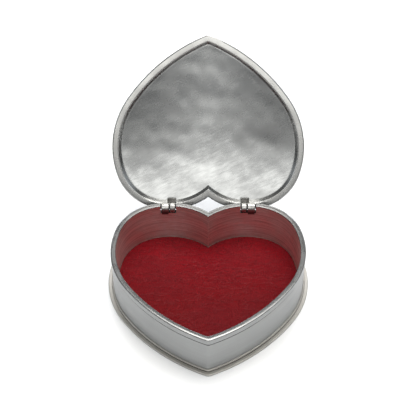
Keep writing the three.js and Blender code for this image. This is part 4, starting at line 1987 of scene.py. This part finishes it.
@dataclass
class Softbox:
    """A flat light.

    Attributes:
        name: its name.
        place: where it stands.
        aim: what it faces.
        size: its width and height.
        watts: its power.
        colour: its colour.
    """

    name: str
    place: tuple[float, float, float]
    aim: tuple[float, float, float]
    size: tuple[float, float]
    watts: float
    colour: tuple[float, float, float] = (1.0, 1.0, 1.0)

    def build(self) -> bpy.types.Object:
        """The light.

        Returns:
            The light, linked to the scene.
        """
        light = bpy.data.lights.new(self.name, "AREA")
        light.shape = "RECTANGLE"
        light.size, light.size_y = self.size
        light.energy = self.watts
        light.color = self.colour
        made = bpy.data.objects.new(self.name, light)
        made.location = self.place
        towards = Vector(self.aim) - Vector(self.place)
        made.rotation_euler = towards.to_track_quat("-Z", "Y").to_euler()
        bpy.context.scene.collection.objects.link(made)
        return made


@dataclass
class Studio:
    """The pale floor, the soft lights and the camera.

    Attributes:
        pose: the hinge line, which the camera looks at.
        sizes: the shared sizes.
        elevation_deg: how steeply the camera looks down.
        distance: from the camera to what it looks at.
        aim_x: how far beside the middle that is.
        aim_front: how far in front of the hinge line it is.
        lens: the camera's focal length in millimetres.
        floor_size: the floor's width.
        room_colour: the colour of the room.
        side_from_to: how sideways a direction is where the room starts and stops dimming.
        room_strength: how bright the room is ahead, and at the sides.
    """

    pose: LidPose
    sizes: BoxSizes
    elevation_deg: float = 47.2
    distance: float = 0.6505
    aim_x: float = -0.12 * MM
    aim_front: float = 3.0 * MM
    lens: float = 106.8
    floor_size: float = 3.0
    room_colour: tuple[float, float, float, float] = (0.86, 0.87, 0.88, 1)
    side_from_to: tuple[float, float] = (0.3, 0.85)
    room_strength: tuple[float, float] = (0.47, 0.22)

    def build_floor(self) -> bpy.types.Object:
        """A wide pale floor.

        Returns:
            The floor.
        """
        half = self.floor_size / 2
        points = np.array([[-half, -half, 0], [half, -half, 0], [half, half, 0], [-half, half, 0]])
        mesh = bpy.data.meshes.new("studio_floor")
        mesh.from_pydata(points.tolist(), [], [[0, 1, 2, 3]])
        material, canvas, shader = new_material("pale_floor")
        place = canvas.add("ShaderNodeTexCoord").outputs["Object"]
        tone = canvas.noise(place, 3.0, 2.0, 0.5)
        pale = canvas.mixed(tone, (0.90, 0.90, 0.90, 1), (0.93, 0.93, 0.93, 1))
        canvas.feed(pale, shader.inputs["Base Color"])
        shader.inputs["Roughness"].default_value = 0.6
        mesh.materials.append(material)
        floor = bpy.data.objects.new("studio_floor", mesh)
        bpy.context.scene.collection.objects.link(floor)
        return floor

    def build_lights(self) -> None:
        """A grey room, darker at the sides, with softboxes overhead, in front, behind and beside."""
        world = bpy.data.worlds.new("grey_room")
        world.use_nodes = True
        background = world.node_tree.nodes["Background"]
        canvas = Canvas(world.node_tree)
        way = canvas.add("ShaderNodeTexCoord").outputs["Generated"]
        sideways = canvas.maths("ABSOLUTE", canvas.add("ShaderNodeSeparateXYZ", in_Vector=way).outputs[0])
        background.inputs["Color"].default_value = self.room_colour
        strength = canvas.between(sideways, *self.side_from_to, *self.room_strength)
        canvas.feed(strength, background.inputs["Strength"])
        bpy.context.scene.world = world
        middle = (0.0, 0.02, 0.03)
        side_size, side_watts, cool = (0.5, 0.8), 1.6, (0.86, 0.93, 1.0)
        boxes = [
            Softbox("overhead_softbox", (0.1, 0.25, 1.1), middle, (0.75, 0.6), 10.0, (1.0, 0.985, 0.95)),
            Softbox("front_softbox", (0.0, -0.88, 0.94), middle, (1.1, 0.78), 5.4, (1.0, 0.99, 0.96)),
            Softbox("back_softbox", (0.0, 1.3, 0.5), middle, (1.2, 0.5), 18.0, (0.93, 0.95, 1.0)),
            Softbox("left_softbox", (-1.0, -0.1, 0.6), middle, side_size, side_watts, cool),
            Softbox("right_softbox", (1.0, 0.1, 0.6), middle, side_size, side_watts, cool),
        ]
        for box in boxes:
            box.build()

    def build_camera(self) -> bpy.types.Object:
        """A camera in front, looking down at the hinge line.

        Returns:
            The camera, set as the scene's own.
        """
        target = Vector((self.aim_x, self.pose.axis_y - self.aim_front, self.sizes.rim_z))
        lift = math.radians(self.elevation_deg)
        back = Vector((0, -math.cos(lift), math.sin(lift)))
        data = bpy.data.cameras.new("camera")
        data.lens = self.lens
        data.sensor_width = 36
        data.clip_start, data.clip_end = 0.01, 20
        camera = bpy.data.objects.new("camera", data)
        camera.location = target + back * self.distance
        camera.rotation_euler = (-back).to_track_quat("-Z", "Y").to_euler()
        bpy.context.scene.collection.objects.link(camera)
        bpy.context.scene.camera = camera
        return camera

    def build(self) -> None:
        """The whole studio, with colours shown as they are lit."""
        self.build_camera()
        self.build_floor()
        self.build_lights()
        view = bpy.context.scene.view_settings
        view.view_transform = "Standard"
        view.look = "None"


# ---- Assembly ---------------------------------------------------------------------------------


def main() -> None:
    """Builds every piece in order."""
    logging.basicConfig(level=logging.INFO, format="%(name)s %(message)s")
    sizes, pose = BoxSizes(), LidPose.from_frame()
    hinges, lid = HingePair(pose, sizes), Lid(sizes, pose)
    Studio(pose, sizes).build()
    finishes = Finishes()
    makers: list[Callable[[Finishes], bpy.types.Object]] = [
        Base(sizes).build,
        Wall(sizes, hinges).build,
        RimBand(sizes, hinges).build,
        FloorLining(sizes).build,
        lid.build_frame,
        lid.build_panel,
    ]
    for make in makers:
        report(make(finishes))
    for side in Side:
        report(hinges.build_body_leaf(side, finishes))
        report(hinges.build_lid_leaf(side, finishes))
        report(hinges.build_pin(side, finishes))
    card = frame["nodes"]["floor_card"]
    dress(card, "grey_card", finishes.card)
    report(card)


if __name__ == "__main__":
    main()
